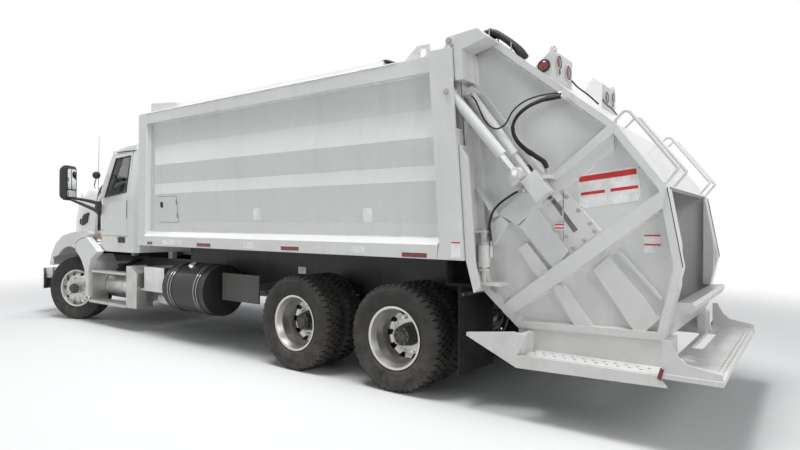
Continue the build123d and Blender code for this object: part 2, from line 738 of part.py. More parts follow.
def refuse_body():
    z_floor = rail_low_z[1]
    frame_w = 230.0
    rear_in = [(seam_at(z) + frame_w, z) for z in (z_floor, roof_low)]
    # floor with lower rails and sloped sill
    floor_section = [
        (0.0, rail_low_z[0]),
        (body_half_w, rail_low_z[0]),
        (body_half_w, rail_low_z[1]),
        (panel_section[0][0], sill_top_z),
        (panel_inner_y, sill_top_z),
        (panel_inner_y, z_floor),
        (0.0, z_floor),
    ]
    floor = both(prism_x(floor_section, seam_at(rail_low_z[0]) + frame_w + 30, body_post_x))
    nodes["body_floor"] = floor
    # side walls with their creases
    section = [(panel_inner_y, roof_low), (panel_inner_y, sill_top_z)] + panel_section
    wall = prism_x(section, -900, body_post_x)
    wall &= prism_y(
        [rear_in[0], (body_post_x, z_floor), (body_post_x, roof_low), rear_in[1]],
        panel_inner_y - 10,
        body_half_w,
    )
    # the creased panel dies away towards the front post
    wall -= prism_z(
        [(body_post_x - 190, body_half_w), (body_post_x - 190, panel_crest_y), (body_post_x - 50, panel_base_y - 12), (body_post_x + 1, panel_base_y - 12), (body_post_x + 1, body_half_w)],
        sill_top_z + 1,
        roof_low,
    )
    nodes["body_sides"] = both(wall)
    # roof with top rails, raised cover and front hood
    roof = box(rear_in[1][0] + 10, body_post_x, -top_rail_y, top_rail_y, roof_low, roof_top)
    roof -= box(rear_in[1][0] - 10, body_post_x + 10, -panel_inner_y, panel_inner_y, roof_low - 1, roof_top - 45)
    cover_y = (body_half_w - 140, body_half_w - 165)
    cover = prism_x([(-cover_y[0], roof_top), (cover_y[0], roof_top), (cover_y[1], roof_top + 95), (-cover_y[1], roof_top + 95)], 235, 3680)
    peak_y = body_half_w - 130
    peak = prism_y([(3690, roof_top), (4300, roof_top), (4300, roof_top + 165), (3690, roof_top + 105)], -peak_y, peak_y)
    lug = prism_y([(-30, roof_top), (-200, roof_top + 140), (-330, roof_top + 140), (-345, roof_top)], peak_y, peak_y + 30)
    lug -= rod((-262, peak_y - 100, roof_top + 72), (-262, peak_y + 100, roof_top + 72), 42)
    nodes["body_roof"] = roof + cover + peak + both(lug)
    # front bulkhead with posts
    front = box(body_post_x, body_front_x, -body_half_w + 25, body_half_w - 25, rail_low_z[0], roof_top)
    front -= box(body_post_x - 10, body_front_x - 60, -panel_inner_y, panel_inner_y, z_floor, roof_top - 45)
    nodes["body_front"] = front
    # rear frame: slanted ring with hinge ears and cylinder brackets
    ring_outer = prism_y(
        [
            (seam_at(rail_low_z[0]), rail_low_z[0]),
            (seam_at(rail_low_z[0]) + frame_w + 30, rail_low_z[0]),
            (seam_at(z_floor) + frame_w, z_floor),
            (rear_in[1][0], roof_low),
            (rear_in[1][0] + 10, roof_low),
            (rear_in[1][0] + 10, roof_top + 35),
            (seam_at(roof_top + 35), roof_top + 35),
        ],
        -body_half_w,
        body_half_w,
    )
    ring = ring_outer - box(-1200, 200, -panel_inner_y, panel_inner_y, z_floor, roof_top - 45)
    ear = prism_y(
        [
            (hinge_x + 120, roof_top + 35),
            (hinge_x + 60, hinge_z + 42),
            (hinge_x, hinge_z + 52),
            (hinge_x - 28, hinge_z + 30),
            (hinge_x - 30, roof_top + 35),
        ],
        ear_y[0],
        ear_y[1],
    )
    ear -= rod((hinge_x, ear_y[0] - 50, hinge_z), (hinge_x, ear_y[1] + 50, hinge_z), hinge_pin_r + pin_gap)
    ring += both(ear)
    bracket = prism_y(
        [
            (lift_pin[0] + 150, lift_pin[1] + 60),
            (lift_pin[0] - 44, lift_pin[1] + 48),
            (lift_pin[0] - 54, lift_pin[1] - 40),
            (lift_pin[0], lift_pin[1] - 150),
            (lift_pin[0] + 140, lift_pin[1] - 200),
        ],
        panel_inner_y + 2,
        body_half_w,
    )
    ring += both(bracket)
    pocket = box(lift_pin[0] - 160, lift_pin[0] + 62, lift_y - 50, lift_y + 50, lift_pin[1] - 320, lift_pin[1] + 130)
    ring -= both(pocket)
    ring += both(rod((lift_pin[0], panel_inner_y + 4, lift_pin[1]), (lift_pin[0], body_half_w + 12, lift_pin[1]), 24))
    nodes["body_rear_frame"] = ring
    # ejector panel inside
    face = prism_y([(560, z_floor + 14), (640, z_floor + 14), (1150, 1900), (1150, 2880), (1090, 2880), (1090, 1930)], -panel_inner_y + 12, panel_inner_y - 12)
    legs = both(box(640, 1600, 900, 990, z_floor + 14, z_floor + 94))
    legs += both(prism_y([(1090, 2000), (1150, 2000), (1600, z_floor + 94), (1500, z_floor + 94)], 900, 990))
    shoes = both(box(560, 1600, 1000, panel_inner_y - 12, z_floor + 0.3, z_floor + 14))
    nodes["ejector_panel"] = face + legs + shoes


# Tailgate


def gate_wall(side):
    """One side wall: recessed sheet, raised flange all round and ribs."""
    outline = tailgate_outline
    sheet = prism_y(outline, gate_inner_y, gate_sheet_y)
    rim = prism_y(outline, gate_sheet_y, gate_outer_y) - prism_y(inset(outline, gate_flange), gate_sheet_y - 1, gate_outer_y + 1)
    wall = sheet + rim
    return wall if side > 0 else right(wall)


def clip_gate(shape):
    """Keep what lies inside the tailgate's side outline."""
    return shape & prism_y(inset(tailgate_outline, 2.0), 0, 1400)


def gate_ribs():
    """Pressed plates on the left side wall, and the long track bar above the shoe's slot."""
    ribs = []
    for _, height, outline in gate_plates:
        ribs.append(clip_gate(prism_y(outline, gate_sheet_y - 1, gate_sheet_y + height)))
    a = along(shoe_centre, packer_dir_deg, -1300, -58)
    b = along(shoe_centre, packer_dir_deg, 190, -58)
    ribs.append(clip_gate(beam(a, b, 58, 50, gate_sheet_y + 29)))
    return ribs


def slot_cut():
    """Slanted slot in the side wall in which the shoe's stem runs."""
    a = along(shoe_centre, packer_dir_deg, -packer_up - stem_half - run_gap)
    b = along(shoe_centre, packer_dir_deg, packer_down + stem_half + run_gap)
    return beam(a, b, 300, stem_t + 2 * run_gap, gate_inner_y + 40)


def slope_z(x):
    """Height of the tailgate's upper slope at a station."""
    (x0, z0), (x1, z1) = tailgate_outline[1], tailgate_outline[2]
    return z0 + (x - x0) / (x1 - x0) * (z1 - z0)


def tailgate():
    wall = gate_wall(1)
    for rib in gate_ribs():
        wall += rib
    wall -= slot_cut()
    # front frame: an angle, open to the rear, with a gap where the lift cylinder passes
    def seam_strip(z_top, z_low, width, y0, y1, rear_drop=0.0):
        return prism_y(
            [
                (seam_at(z_top) - run_gap, z_top),
                (seam_at(z_top) - run_gap - width, z_top - rear_drop),
                (seam_at(z_low) - run_gap - width, z_low),
                (seam_at(z_low) - run_gap, z_low),
            ],
            y0,
            y1,
        )

    foot = rail_low_z[0]
    post = seam_strip(roof_top + 10, 2820, 80, gate_outer_y, gate_frame_y)
    post += seam_strip(2255, foot, 24, gate_outer_y, gate_frame_y)
    post += seam_strip(2255, foot, 88, gate_frame_y - 18, gate_frame_y, 110)
    foot_front = [(seam_at(foot) - run_gap, foot), (-845, 990)]
    post += prism_y([foot_front[0], (-855, foot), (-905, 1040), foot_front[1]], gate_frame_y - 18, gate_frame_y)
    post += prism_y([foot_front[0], (foot_front[0][0] - 24, foot), (-869, 1005), foot_front[1]], gate_outer_y, gate_frame_y)
    inner_post = seam_strip(roof_top + 10, foot, 90, gate_inner_y, gate_outer_y)
    top_bar = prism_y(
        [
            (seam_top[0] - run_gap, roof_top + 35),
            (-640.0, roof_top + 145),
            (-860.0, roof_top + 162),
            (-960.0, roof_top + 70),
            (seam_at(roof_top + 10) - run_gap - 80, roof_top + 10),
            (seam_at(roof_top + 10) - run_gap, roof_top + 10),
        ],
        gate_outer_y,
        gate_frame_y,
    )
    # round relief in which the body's hinge ear turns
    top_bar -= rod((hinge_x, ear_y[0] - run_gap, hinge_z), (hinge_x, ear_y[1] + run_gap, hinge_z), hinge_relief_r)
    left = wall + post + inner_post + top_bar
    # hinge knuckles each side of the body's ear
    for y0, y1 in ((ear_y[0] - 65, ear_y[0] - run_gap), (ear_y[1] + run_gap, gate_frame_y)):
        left += prism_y([(hinge_x - 35, hinge_z - 38), (hinge_x + 30, hinge_z - 34), (hinge_x + 34, hinge_z + 20), (hinge_x, hinge_z + 40), (-700, roof_top + 149), (-700, roof_top + 50)], y0, y1)
    left += rod((hinge_x, ear_y[0] - 65, hinge_z), (hinge_x, gate_frame_y + 12, hinge_z), hinge_pin_r)
    left += lock_gear()
    shell = both(left)
    # slope, hopper belly and sill between the walls
    inner = gate_inner_y
    slope = prism_y(tailgate_outline[1:4] + [(-2262, 1845), (-1905, 2325), (-840, roof_top + 120)], -inner, inner)
    head = prism_y(tailgate_outline[0:2] + [(-840, roof_top + 120), (-640, roof_top + 102)], -inner, inner)
    belly = prism_y(
        [(-2440, 1000), (-2350, 1000), (-2250, 780), (-1165, 750), (-870, 1010), (-842, 983), (-1150, 705), (-2290, 735), (-2400, 940)],
        -inner,
        inner,
    )
    sill = prism_y([(-2350, 1000), (-2460, 1010), (-2475, 985), (-2450, 930), (-2390, 930)], -inner, inner)
    shell += slope + head + belly + sill
    cross = box(-2380, -2290, gate_inner_y - 60, gate_inner_y, loading_z[0], loading_z[1])
    cross = both(cross & prism_y(tailgate_outline, 0, gate_outer_y))
    shell += cross
    # inner tracks that the carriage runs on, above and below the slot
    for off in (-95.0, 95.0):
        a = along(shoe_centre, packer_dir_deg, -packer_up - 170, off)
        b = along(shoe_centre, packer_dir_deg, packer_down + 170, off)
        shell += both(beam(a, b, 46, 40, gate_inner_y - 22))
    # upper lug of the slide cylinder and lower lug of the lift cylinder
    heading = packer_dir_deg
    lug = prism_y([along(slide_cyl_top, heading, -60, -60), along(slide_cyl_top, heading, 0, -60), along(slide_cyl_top, heading, 0, 36), along(slide_cyl_top, heading, -60, 36)], gate_sheet_y - 5, slide_cyl_y + 46)
    reach = [along(lift_eye, heading, -45, 45), along(lift_eye, heading, 45, 45), along(lift_eye, heading, 45, 110), along(lift_eye, heading, -45, 110)]
    cap = [along(lift_eye, heading, -45, -40), along(lift_eye, heading, 45, -40), along(lift_eye, heading, 45, 110), along(lift_eye, heading, -45, 110)]
    eye_lug = prism_y(reach, gate_sheet_y - 5, shoe_outer_y + 6) + prism_y(cap, shoe_outer_y + 6, shoe_outer_y + 20)
    shell += both(lug + eye_lug)
    nodes["tailgate_shell"] = shell + hose_fittings()
    # slide cylinder barrels
    gland = along(slide_cyl_top, heading, 670)
    barrel = rod((slide_cyl_top[0], slide_cyl_y, slide_cyl_top[1]), (gland[0], slide_cyl_y, gland[1]), slide_cyl_r)
    deep = along(slide_cyl_top, heading, 40)
    barrel -= rod((deep[0], slide_cyl_y, deep[1]), (gland[0], slide_cyl_y, gland[1]), slide_rod_r + pin_gap)
    nodes["slide_barrels"] = both(barrel)
    # platform, side steps and skirts
    deck = box(platform_rear_x, -2300, -platform_half_w, platform_half_w, 515, 548)
    for x0, x1, y0, y1 in deck_holes:
        deck -= box(x0, x1, y0, y1, 500, 560)
    hangers = both(box(-2330, -2262, 700, gate_outer_y - 20, 530, 733.9))
    tread = box(-2305, -1240, gate_outer_y - 20, platform_half_w - 20, 505, 535)
    skirt = prism_y(
        [(-789, 631), (-794, 658), (-1213, 707), (-1334, 696), (-1255, 530), (-2300, 530), (-2362, 454), (-1247, 424)],
        platform_half_w - 25,
        platform_half_w,
    )
    riser = prism_y([(-1180, 505), (-2300, 505), (-2289, 734.7), (-1150, 704.7)], gate_outer_y - 34, gate_outer_y - 14)
    brace = box(-1290, -1250, gate_outer_y - 20, platform_half_w - 20, 530, 690)
    steps = both(tread + skirt + riser + brace)
    ear_line = [
        (-2326, 775),
        (-2372, 781),
        (-2391, 734),
        (-2430, 670),
        (-2481, 628),
        (-2695, 590),
        (-2695, 533),
        (-2488, 533),
        (-2380, 519),
        (-2326, 519),
    ]
    ears = both(prism_y(ear_line, platform_half_w - 32, platform_half_w - 16))
    nodes["rear_platform"] = deck + steps + hangers + ears
    nodes["lamp_boxes"] = both(lamp_box())
    # grab rails up the slope
    rails = None
    for y in (gate_outer_y - 50, 50 - gate_outer_y, 620.0, -620.0):
        bends = [(-1913.1, y, 2376.7), (-1992, y, 2450), (-2030, y, 2440), (-2372, y, 1990), (-2287.5, y, 1883.5)]
        one = bent_tube(bends, 18.0, 14.0)
        rails = one if rails is None else rails + one
    nodes["grab_rails"] = rails


def lamp_box():
    """Left lamp box: upright rear face, and a face that slopes down outboard and forward."""
    low_z = slope_z(lamp_rear_x) + 0.3
    inner_y, outer_y = lamp_box_y
    profile = [(-1210, slope_z(-1210) + 0.3), (-1300, 3090), (-1315, 3100), (lamp_rear_x, 3030), (lamp_rear_x, low_z)]
    form = prism_y(profile, inner_y, outer_y)
    rear_corner = Vector(lamp_rear_x, outer_y, 3030)
    along_edge = Vector(-1250, outer_y, 2899) - rear_corner
    across = Vector(-1310, inner_y, 3098) - rear_corner
    lid = Plane(origin=rear_corner, x_dir=along_edge, z_dir=across.cross(along_edge))
    if lid.z_dir.Z < 0:
        lid = -lid
    form -= lid * Box(2000, 2000, 600, align=(Align.CENTER, Align.CENTER, Align.MIN))
    for y, z, r in lamp_rims:
        form += rod((lamp_rear_x + 5, y, z), (lamp_rear_x - 14, y, z), r)
        form -= rod((lamp_rear_x - 6, y, z), (lamp_rear_x - 20, y, z), r - 9)
    return form


def lock_gear():
    """Lock cylinder on its shelf below a bracket, with the stay above it."""
    top_z, low_z = lock_z[1], lock_z[0]
    gear = rod((lock_x, lock_y, low_z), (lock_x, lock_y, top_z), 50)
    gear += rod((lock_x, lock_y, lock_shelf_z[0]), (lock_x, lock_y, low_z), 22)
    gear += box(lock_x - 18, lock_x + 18, lock_y - 18, lock_y + 18, top_z - 2, top_z + 90)
    gear += box(lock_x - 26, lock_x + 85, gate_sheet_y - 5, lock_y + 40, top_z + 85, top_z + 105)
    gear += box(-1045, -815, gate_sheet_y - 5, lock_y + 65, lock_shelf_z[0], lock_shelf_z[1])
    gear += beam((-770, 1895), (-955, 1640), gate_outer_y + 40 - gate_sheet_y, 34, (gate_outer_y + 40 + gate_sheet_y) / 2)
    return gear


def hose_fittings():
    """Manifold under the slope, lug by the shoe, and the ports at the two cylinders, left side only."""
    hose_y = body_half_w + slide_hose_b[0][1]
    manifold = box(-1600, -1560, gate_outer_y - 4, hose_y + 42, 2570, 2630)
    lug = box(-1462, -1400, gate_sheet_y - 5, hose_y + 18, 1945, slide_hose_a[-1][2] - 0.3)
    port_x, port_z = along(slide_cyl_top, packer_dir_deg, -20, -10)
    port = rod((port_x, slide_cyl_y + 40, port_z), (port_x, slide_cyl_y + 74, port_z), 14)
    block = box(-1244, -1222, gate_sheet_y - 5, lock_y + 18, 1838, 1870)
    end_x, end_z = lock_hose[-1][0], lock_hose[-1][2]
    elbow = rod((end_x, lock_y, 1290), (end_x, lock_y, end_z - 0.3), 13)
    elbow += rod((end_x, lock_y, 1302), (lock_x, lock_y, 1302), 12)
    return manifold + lug + port + block + elbow


def hoses():
    nodes["hose_slide_a"] = hose(slide_hose_a, slide_hose_r)
    nodes["hose_slide_b"] = hose(slide_hose_b, slide_hose_r)
    nodes["hose_port"] = hose(port_hose, port_hose_r)
    nodes["hose_lock"] = hose(lock_hose, lock_hose_r)


def packer():
    """Carriage with its outer shoes and rods, and the sweep panel hinged below it."""
    heading = packer_dir_deg
    half = pack_half_w
    top = along(sweep_pivot, heading, -760)
    plate = beam(along(sweep_pivot, heading, -85), top, 2 * (half - 30), 60, 0)
    cheek = beam(along(shoe_centre, heading, -150), along(shoe_centre, heading, 150), 30, 130, half - 45)
    cheek += prism_y(
        [
            along(shoe_centre, heading, -140),
            along(shoe_centre, heading, 60),
            along(sweep_pivot, heading, 60, 40),
            along(sweep_pivot, heading, 60, -45),
            along(sweep_pivot, heading, -260, -30),
        ],
        half - 60,
        half - 30,
    )
    slider = beam(along(shoe_centre, heading, -110), along(shoe_centre, heading, 110), 42, 138, half - 9)
    stem_y = (half - 20, gate_outer_y + 20)
    stem = beam(along(shoe_centre, heading, -stem_half), along(shoe_centre, heading, stem_half), stem_y[1] - stem_y[0], stem_t, sum(stem_y) / 2)
    mid_y = (gate_outer_y + 12 + shoe_outer_y) / 2
    shoe = beam(along(shoe_centre, heading, -110), along(shoe_centre, heading, 110), shoe_outer_y - gate_outer_y - 12, 150, mid_y)
    pivot_pin = rod((sweep_pivot[0], half - 140, sweep_pivot[1]), (sweep_pivot[0], half - 30, sweep_pivot[1]), 30)
    rod_top = along(slide_cyl_top, heading, 60 + packer_up)
    low = along(shoe_centre, heading, -100)
    push_rod = rod((rod_top[0], slide_cyl_y, rod_top[1]), (low[0], slide_cyl_y, low[1]), slide_rod_r)
    nodes["packer_carriage"] = plate + both(cheek + slider + stem + shoe + pivot_pin + push_rod)
    # sweep panel, closed at rest
    tip_deg = -62.0
    tip = along(sweep_pivot, tip_deg, sweep_len)
    blade_y = half - 70
    back = [along(sweep_pivot, tip_deg, 40, 55), along(sweep_pivot, tip_deg, 380, 95), tip]
    face = [along(sweep_pivot, tip_deg, 360, 20), along(sweep_pivot, tip_deg, 40, -30)]
    blade = prism_y(back + face, -blade_y, blade_y)
    tube = rod((sweep_pivot[0], -blade_y, sweep_pivot[1]), (sweep_pivot[0], blade_y, sweep_pivot[1]), 62)
    bore = rod((sweep_pivot[0], -blade_y - 5, sweep_pivot[1]), (sweep_pivot[0], blade_y + 5, sweep_pivot[1]), 30 + pin_gap)
    nodes["sweep_panel"] = blade + tube - bore


def lift_cylinders():
    """Barrel hung from the body bracket, rod pinned to the tailgate."""
    span = Vector(lift_eye[0] - lift_pin[0], 0, lift_eye[1] - lift_pin[1])
    u = span.normalized()

    def at(d):
        return (lift_pin[0] + u.X * d, lift_y, lift_pin[1] + u.Z * d)

    eye = rod((lift_pin[0], lift_y - 40, lift_pin[1]), (lift_pin[0], lift_y + 40, lift_pin[1]), 46)
    barrel = rod(at(30), at(lift_barrel_len), lift_barrel_r) + eye
    barrel -= rod((lift_pin[0], lift_y - 60, lift_pin[1]), (lift_pin[0], lift_y + 60, lift_pin[1]), 24 + pin_gap)
    barrel -= rod(at(60), at(lift_barrel_len + 10), lift_rod_r + pin_gap)
    ram = rod(at(90), at(span.length - 30), lift_rod_r)
    ram += rod((lift_eye[0], lift_y - 34, lift_eye[1]), (lift_eye[0], lift_y + 34, lift_eye[1]), 42)
    ram += rod((lift_eye[0], shoe_outer_y + 22, lift_eye[1]), (lift_eye[0], lift_y + 45, lift_eye[1]), 24)
    nodes["lift_barrel_left"] = barrel
    nodes["lift_barrel_right"] = right(barrel)
    nodes["lift_rod_left"] = ram
    nodes["lift_rod_right"] = right(ram)


# Cab and hood


def cab_form(t):
    """Outer form of the cab, shrunk all round by t."""
    profile = [
        (cab_rear_x + t, cab_floor_z + t),
        (cab_rear_x + t, cab_roof_z - 110 - t),
        (cab_rear_x + 90 + t, cab_roof_z - 20 - t),
        (5250.0, cab_roof_z - t),
        (5470.0 - t, cab_roof_z - 50 - t),
        (5600.0 - t, cab_roof_z - 150 - t),
        (5900.0 - t, 1975.0 - t),
        (cab_front_x - t, 1930.0 - t),
        (cab_front_x - t, cab_floor_z + t),
    ]
    w = cab_half_w - t
    front_view = [
        (-w, cab_floor_z + t),
        (-w, 1960.0),
        (-w + 85, cab_roof_z - 170 - t),
        (-w + 180, cab_roof_z - 50 - t),
        (-w + 420, cab_roof_z - t),
        (w - 420, cab_roof_z - t),
        (w - 180, cab_roof_z - 50 - t),
        (w - 85, cab_roof_z - 170 - t),
        (w, 1960.0),
        (w, cab_floor_z + t),
    ]
    plan = [
        (cab_rear_x + t, -w + 60),
        (cab_rear_x + 60 + t, -w),
        (5830.0 - t, -w),
        (5960.0 - t, -w + 90),
        (cab_front_x - t, -w + 330),
        (cab_front_x - t, w - 330),
        (5960.0 - t, w - 90),
        (5830.0 - t, w),
        (cab_rear_x + 60 + t, w),
        (cab_rear_x + t, w - 60),
    ]
    form = prism_y(profile, -cab_half_w - 10, cab_half_w + 10)
    form &= prism_x(front_view, cab_rear_x - 100, cab_front_x + 100)
    form &= prism_z(plan, cab_floor_z - 10, cab_roof_z + 10)
    return form


def cab():
    outer = cab_form(0.0)
    shell = outer - cab_form(cab_wall)
    screen_y = (cab_half_w - 150, cab_half_w - 230)
    screen = [(-screen_y[0], 2010.0), (-screen_y[1], 2640.0), (screen_y[1], 2640.0), (screen_y[0], 2010.0)]
    door_y = (cab_half_w - 250, cab_half_w + 150)
    back = [(-560.0, 2100.0), (-560.0, 2520.0), (560.0, 2520.0), (560.0, 2100.0)]
    screen_cut = prism_x(screen, 5500, 6050)
    back_cut = prism_x(back, cab_rear_x - 20, cab_rear_x + 120)
    door_zone = prism_y(inset(door_outline, seam_gap), *door_y)
    window_cut = prism_y(window_outline, *door_y)
    door = (shell & door_zone) - window_cut
    # rear edge bevelled inwards, so that it swings clear of the frame
    rear_edge = door_outline[0][0] + seam_gap
    door -= prism_z([(rear_edge - 5, cab_half_w), (rear_edge, cab_half_w), (rear_edge + 35, cab_half_w - 230), (rear_edge - 5, cab_half_w - 230)], 1300, 2700)
    cab_body = shell - both(prism_y(door_outline, *door_y)) - screen_cut - back_cut
    mounts = box(4860, 4960, rail_outer_y - rail_flange, rail_outer_y, rail_top + 0.3, cab_floor_z)
    mounts += box(5960, 6060, rail_outer_y - rail_flange, rail_outer_y, rail_top + 0.3, cab_floor_z)
    hinges = None
    leaves = None
    hx, hy = door_hinge
    for z in (1480.0, 1850.0):
        low = box(hx - 36, hx, cab_half_w, cab_half_w + 7, z, z + 34.7) + rod((hx, hy, z), (hx, hy, z + 34.7), 9)
        high = box(hx, hx + 40, cab_half_w, cab_half_w + 7, z + 35, z + 70) + rod((hx, hy, z + 35), (hx, hy, z + 70), 9)
        leaves = low if leaves is None else leaves + low
        hinges = high if hinges is None else hinges + high
    nodes["cab_shell"] = cab_body + both(mounts + hinges)
    door += leaves
    nodes["door_left"] = door
    nodes["door_right"] = right(door)
    side_skin = outer - Pos(0, -glass_t, 0) * outer
    glass = side_skin & prism_y(inset(window_outline, 0.3), *door_y)
    nodes["door_glass_left"] = glass
    nodes["door_glass_right"] = right(glass)
    front_skin = outer - Pos(-glass_t, 0, 0) * outer
    rear_skin = outer - Pos(glass_t, 0, 0) * outer
    pane = front_skin & prism_x(inset(screen, 0.3), 5500, 6050)
    pane += rear_skin & prism_x(inset(back, 0.3), cab_rear_x - 20, cab_rear_x + 120)
    nodes["cab_glass"] = pane
    interior()


def interior():
    floor = cab_floor_z + cab_wall
    seats = None
    for y in (480.0, -480.0):
        base = box(4990, 5420, y - 230, y + 230, floor + 0.3, floor + 480)
        back = prism_y([(4960, floor + 440), (5090, floor + 480), (4990, floor + 1180), (4880, floor + 1180)], y - 220, y + 220)
        one = base + back
        seats = one if seats is None else seats + one
    nodes["seats"] = seats
    dash = prism_y([(5780, 1500), (6060, 1500), (6060, 1850), (5840, 1870), (5720, 1780)], -cab_half_w, cab_half_w)
    dash &= cab_form(cab_wall + 0.3)
    column = rod((5750, 480, 1700), (5600, 480, 1790), 25)
    ring = Plane(origin=(5590, 480, 1796), z_dir=(-0.86, 0, 0.51)) * Torus(210, 14)
    spoke = rod((5598, 280, 1800), (5598, 680, 1800), 12)
    nodes["dash_steering"] = dash + column + ring + spoke


def hood_form(t):
    """Outer form of the bonnet, shrunk by t."""
    with BuildSketch(Plane.XZ) as side:
        with BuildLine():
            Line((hood_rear_x, 1180), (hood_rear_x, 2270 - t))
            ThreePointArc((hood_rear_x, 2270 - t), (6820, 2110 - t), (7330 - t, 1730 - t))
            ThreePointArc((7330 - t, 1730 - t), (hood_nose_x - 60 - t, 1560 - t), (hood_nose_x - t, 1300))
            Line((hood_nose_x - t, 1300), (hood_nose_x - t, 900))
            Line((hood_nose_x - t, 900), (7230, 900))
            Line((7230, 900), (7230, 1180))
            Line((7230, 1180), (hood_rear_x, 1180))
        make_face()
    form = extrude(side.sketch, 1300, both=True)
    section = []
    for y, z in hood_section:
        section.append((y - t, z - (t if z > 1800 else 0)))
    front_view = section + [(-y, z) for y, z in reversed(section)]
    form &= prism_x(front_view, hood_rear_x - 10, hood_nose_x + 10)
    plan = []
    for x, y in hood_plan:
        plan.append((x, y - t))
    form &= prism_z(plan + [(x, -y) for x, y in reversed(plan)], 700, 2400)
    return form


def hood():
    shell = hood_form(0.0) - Pos(-20, 0, -0.0) * hood_form(30.0)
    shell -= box(hood_rear_x - 50, 7200, 170 - cab_half_w, cab_half_w - 170, 1100, 1700)
    grille_cut = prism_x([(-400, 960), (400, 960), (430, 1420), (-430, 1420)], 7300, 7700)
    shell -= grille_cut
    outline = [
        (6126.0, 1385.0),
        (6250.0, 1430.0),
        (6550.0, 1405.0),
        (6860.0, 1345.0),
        (7090.0, 1215.0),
        (7250.0, 1030.0),
        (7320.0, 850.0),
        (7170.0, 850.0),
        (7120.0, 1000.0),
        (6400.0, 1130.0),
        (6400.0, 1250.0),
        (6250.0, 1310.0),
        (6126.0, 1340.0),
    ]
    fender = prism_y(outline, fender_outer_y - 470, fender_outer_y)
    hollow = prism_y([(6060, 1200), (6250, 1380), (6550, 1360), (6840, 1300), (7060, 1180), (7210, 1010), (7290, 800), (6060, 800)], fender_outer_y - 570, fender_outer_y - 30)
    lip = rod((arch_centre[0], 600, arch_centre[1]), (arch_centre[0], 1300, arch_centre[1]), arch_r)
    fender = fender - hollow - lip
    x, z = hood_hinge
    ear = prism_y([(x - 26, 955), (x + 14, 955), (x + 24, z), (x - 24, z)], hood_ear_y, hood_ear_y + 26)
    ear += rod((x, hood_ear_y, z), (x, hood_ear_y + 26, z), 24)
    ear += rod((x, hood_ear_y - 38, z), (x, hood_ear_y + 20, z), hood_pin_r)
    nodes["hood_shell"] = shell + both(fender + ear)
    bars = None
    for i in range(8):
        z = 990 + 55 * i
        bar = box(7440, 7480, -400, 400, z, z + 18)
        bars = bar if bars is None else bars + bar
    sides = both(box(7440, 7480, 380, 399.7, 970, 1410))
    nodes["hood_grille"] = bars + sides


def quarter_fenders():
    """Fixed rear part of each front fender, below the cab corner."""
    outer = [
        (6385.0, 1120.0),
        (6385.0, 1240.0),
        (6240.0, 1300.0),
        (6040.0, 1340.0),
        (5680.0, 1125.0),
        (5900.0, 1000.0),
        (5975.0, 800.0),
        (5985.0, 420.0),
        (6040.0, 420.0),
    ]
    shape = prism_y(outer, fender_outer_y - 100, fender_outer_y)
    shape -= rod((arch_centre[0], 600, arch_centre[1]), (arch_centre[0], 1300, arch_centre[1]), arch_r - 25)
    liner = rod((arch_centre[0], 640, arch_centre[1]), (arch_centre[0], fender_outer_y - 100, arch_centre[1]), arch_r)
    liner -= rod((arch_centre[0], 600, arch_centre[1]), (arch_centre[0], 1300, arch_centre[1]), arch_r - 25)
    liner &= box(5900, 6250, 600, 1300, 700, 1120)
    stay = box(6085, 6125, rail_outer_y + 0.3, 650, 900, 940)
    nodes["quarter_fenders"] = both(shape + liner + stay)


def mirrors():
    """Door mirrors on two-bar arms, carried by the cowl."""
    w = cab_half_w
    base = box(5810, 5985, w + 0.3, w + 70, 1730, 1900)
    upper = rod((5960, w + 50, 1860), (6480, w + 350, 2010), 18)
    lower = rod((5960, w + 50, 1770), (6420, w + 350, 1930), 18)
    plan = [(6420, 320), (6420, 390), (6480, 450), (6560, 445), (6580, 370), (6560, 310), (6450, 295)]
    head = prism_z([(x, w + y) for x, y in plan], 1950, 2510)
    one = base + upper + lower + head
    nodes["mirrors"] = both(one)


wheels()
steering()
chassis()
rear_axles()
power()
bumper()
side_gear()
guards()
refuse_body()
tailgate()
hoses()
packer()
lift_cylinders()
cab()
hood()
quarter_fenders()
mirrors()

for name, shape in nodes.items():
    export_step(Pos(-origin_x, 0, 0) * shape, f"parts/{name}.step")
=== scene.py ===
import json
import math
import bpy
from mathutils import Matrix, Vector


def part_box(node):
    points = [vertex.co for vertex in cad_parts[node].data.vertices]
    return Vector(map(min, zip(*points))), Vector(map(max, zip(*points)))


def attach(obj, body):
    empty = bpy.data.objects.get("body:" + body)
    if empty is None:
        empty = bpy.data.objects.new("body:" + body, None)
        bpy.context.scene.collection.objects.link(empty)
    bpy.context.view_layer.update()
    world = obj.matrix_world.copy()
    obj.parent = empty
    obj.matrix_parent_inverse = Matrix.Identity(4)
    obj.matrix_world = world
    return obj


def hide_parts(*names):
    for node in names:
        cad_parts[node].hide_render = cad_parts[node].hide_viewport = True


bl_info = {
    "name": "Refuse truck dressing",
    "version": (1, 0, 0),
    "blender": (4, 5, 0),
    "location": "View3D > Sidebar > Refuse truck",
    "description": "Finishes, tyres, hoses, lamps, signs and trim for a rear-loading refuse truck",
    "category": "Object",
}

import bmesh
import bpy
from mathutils import Matrix, Vector

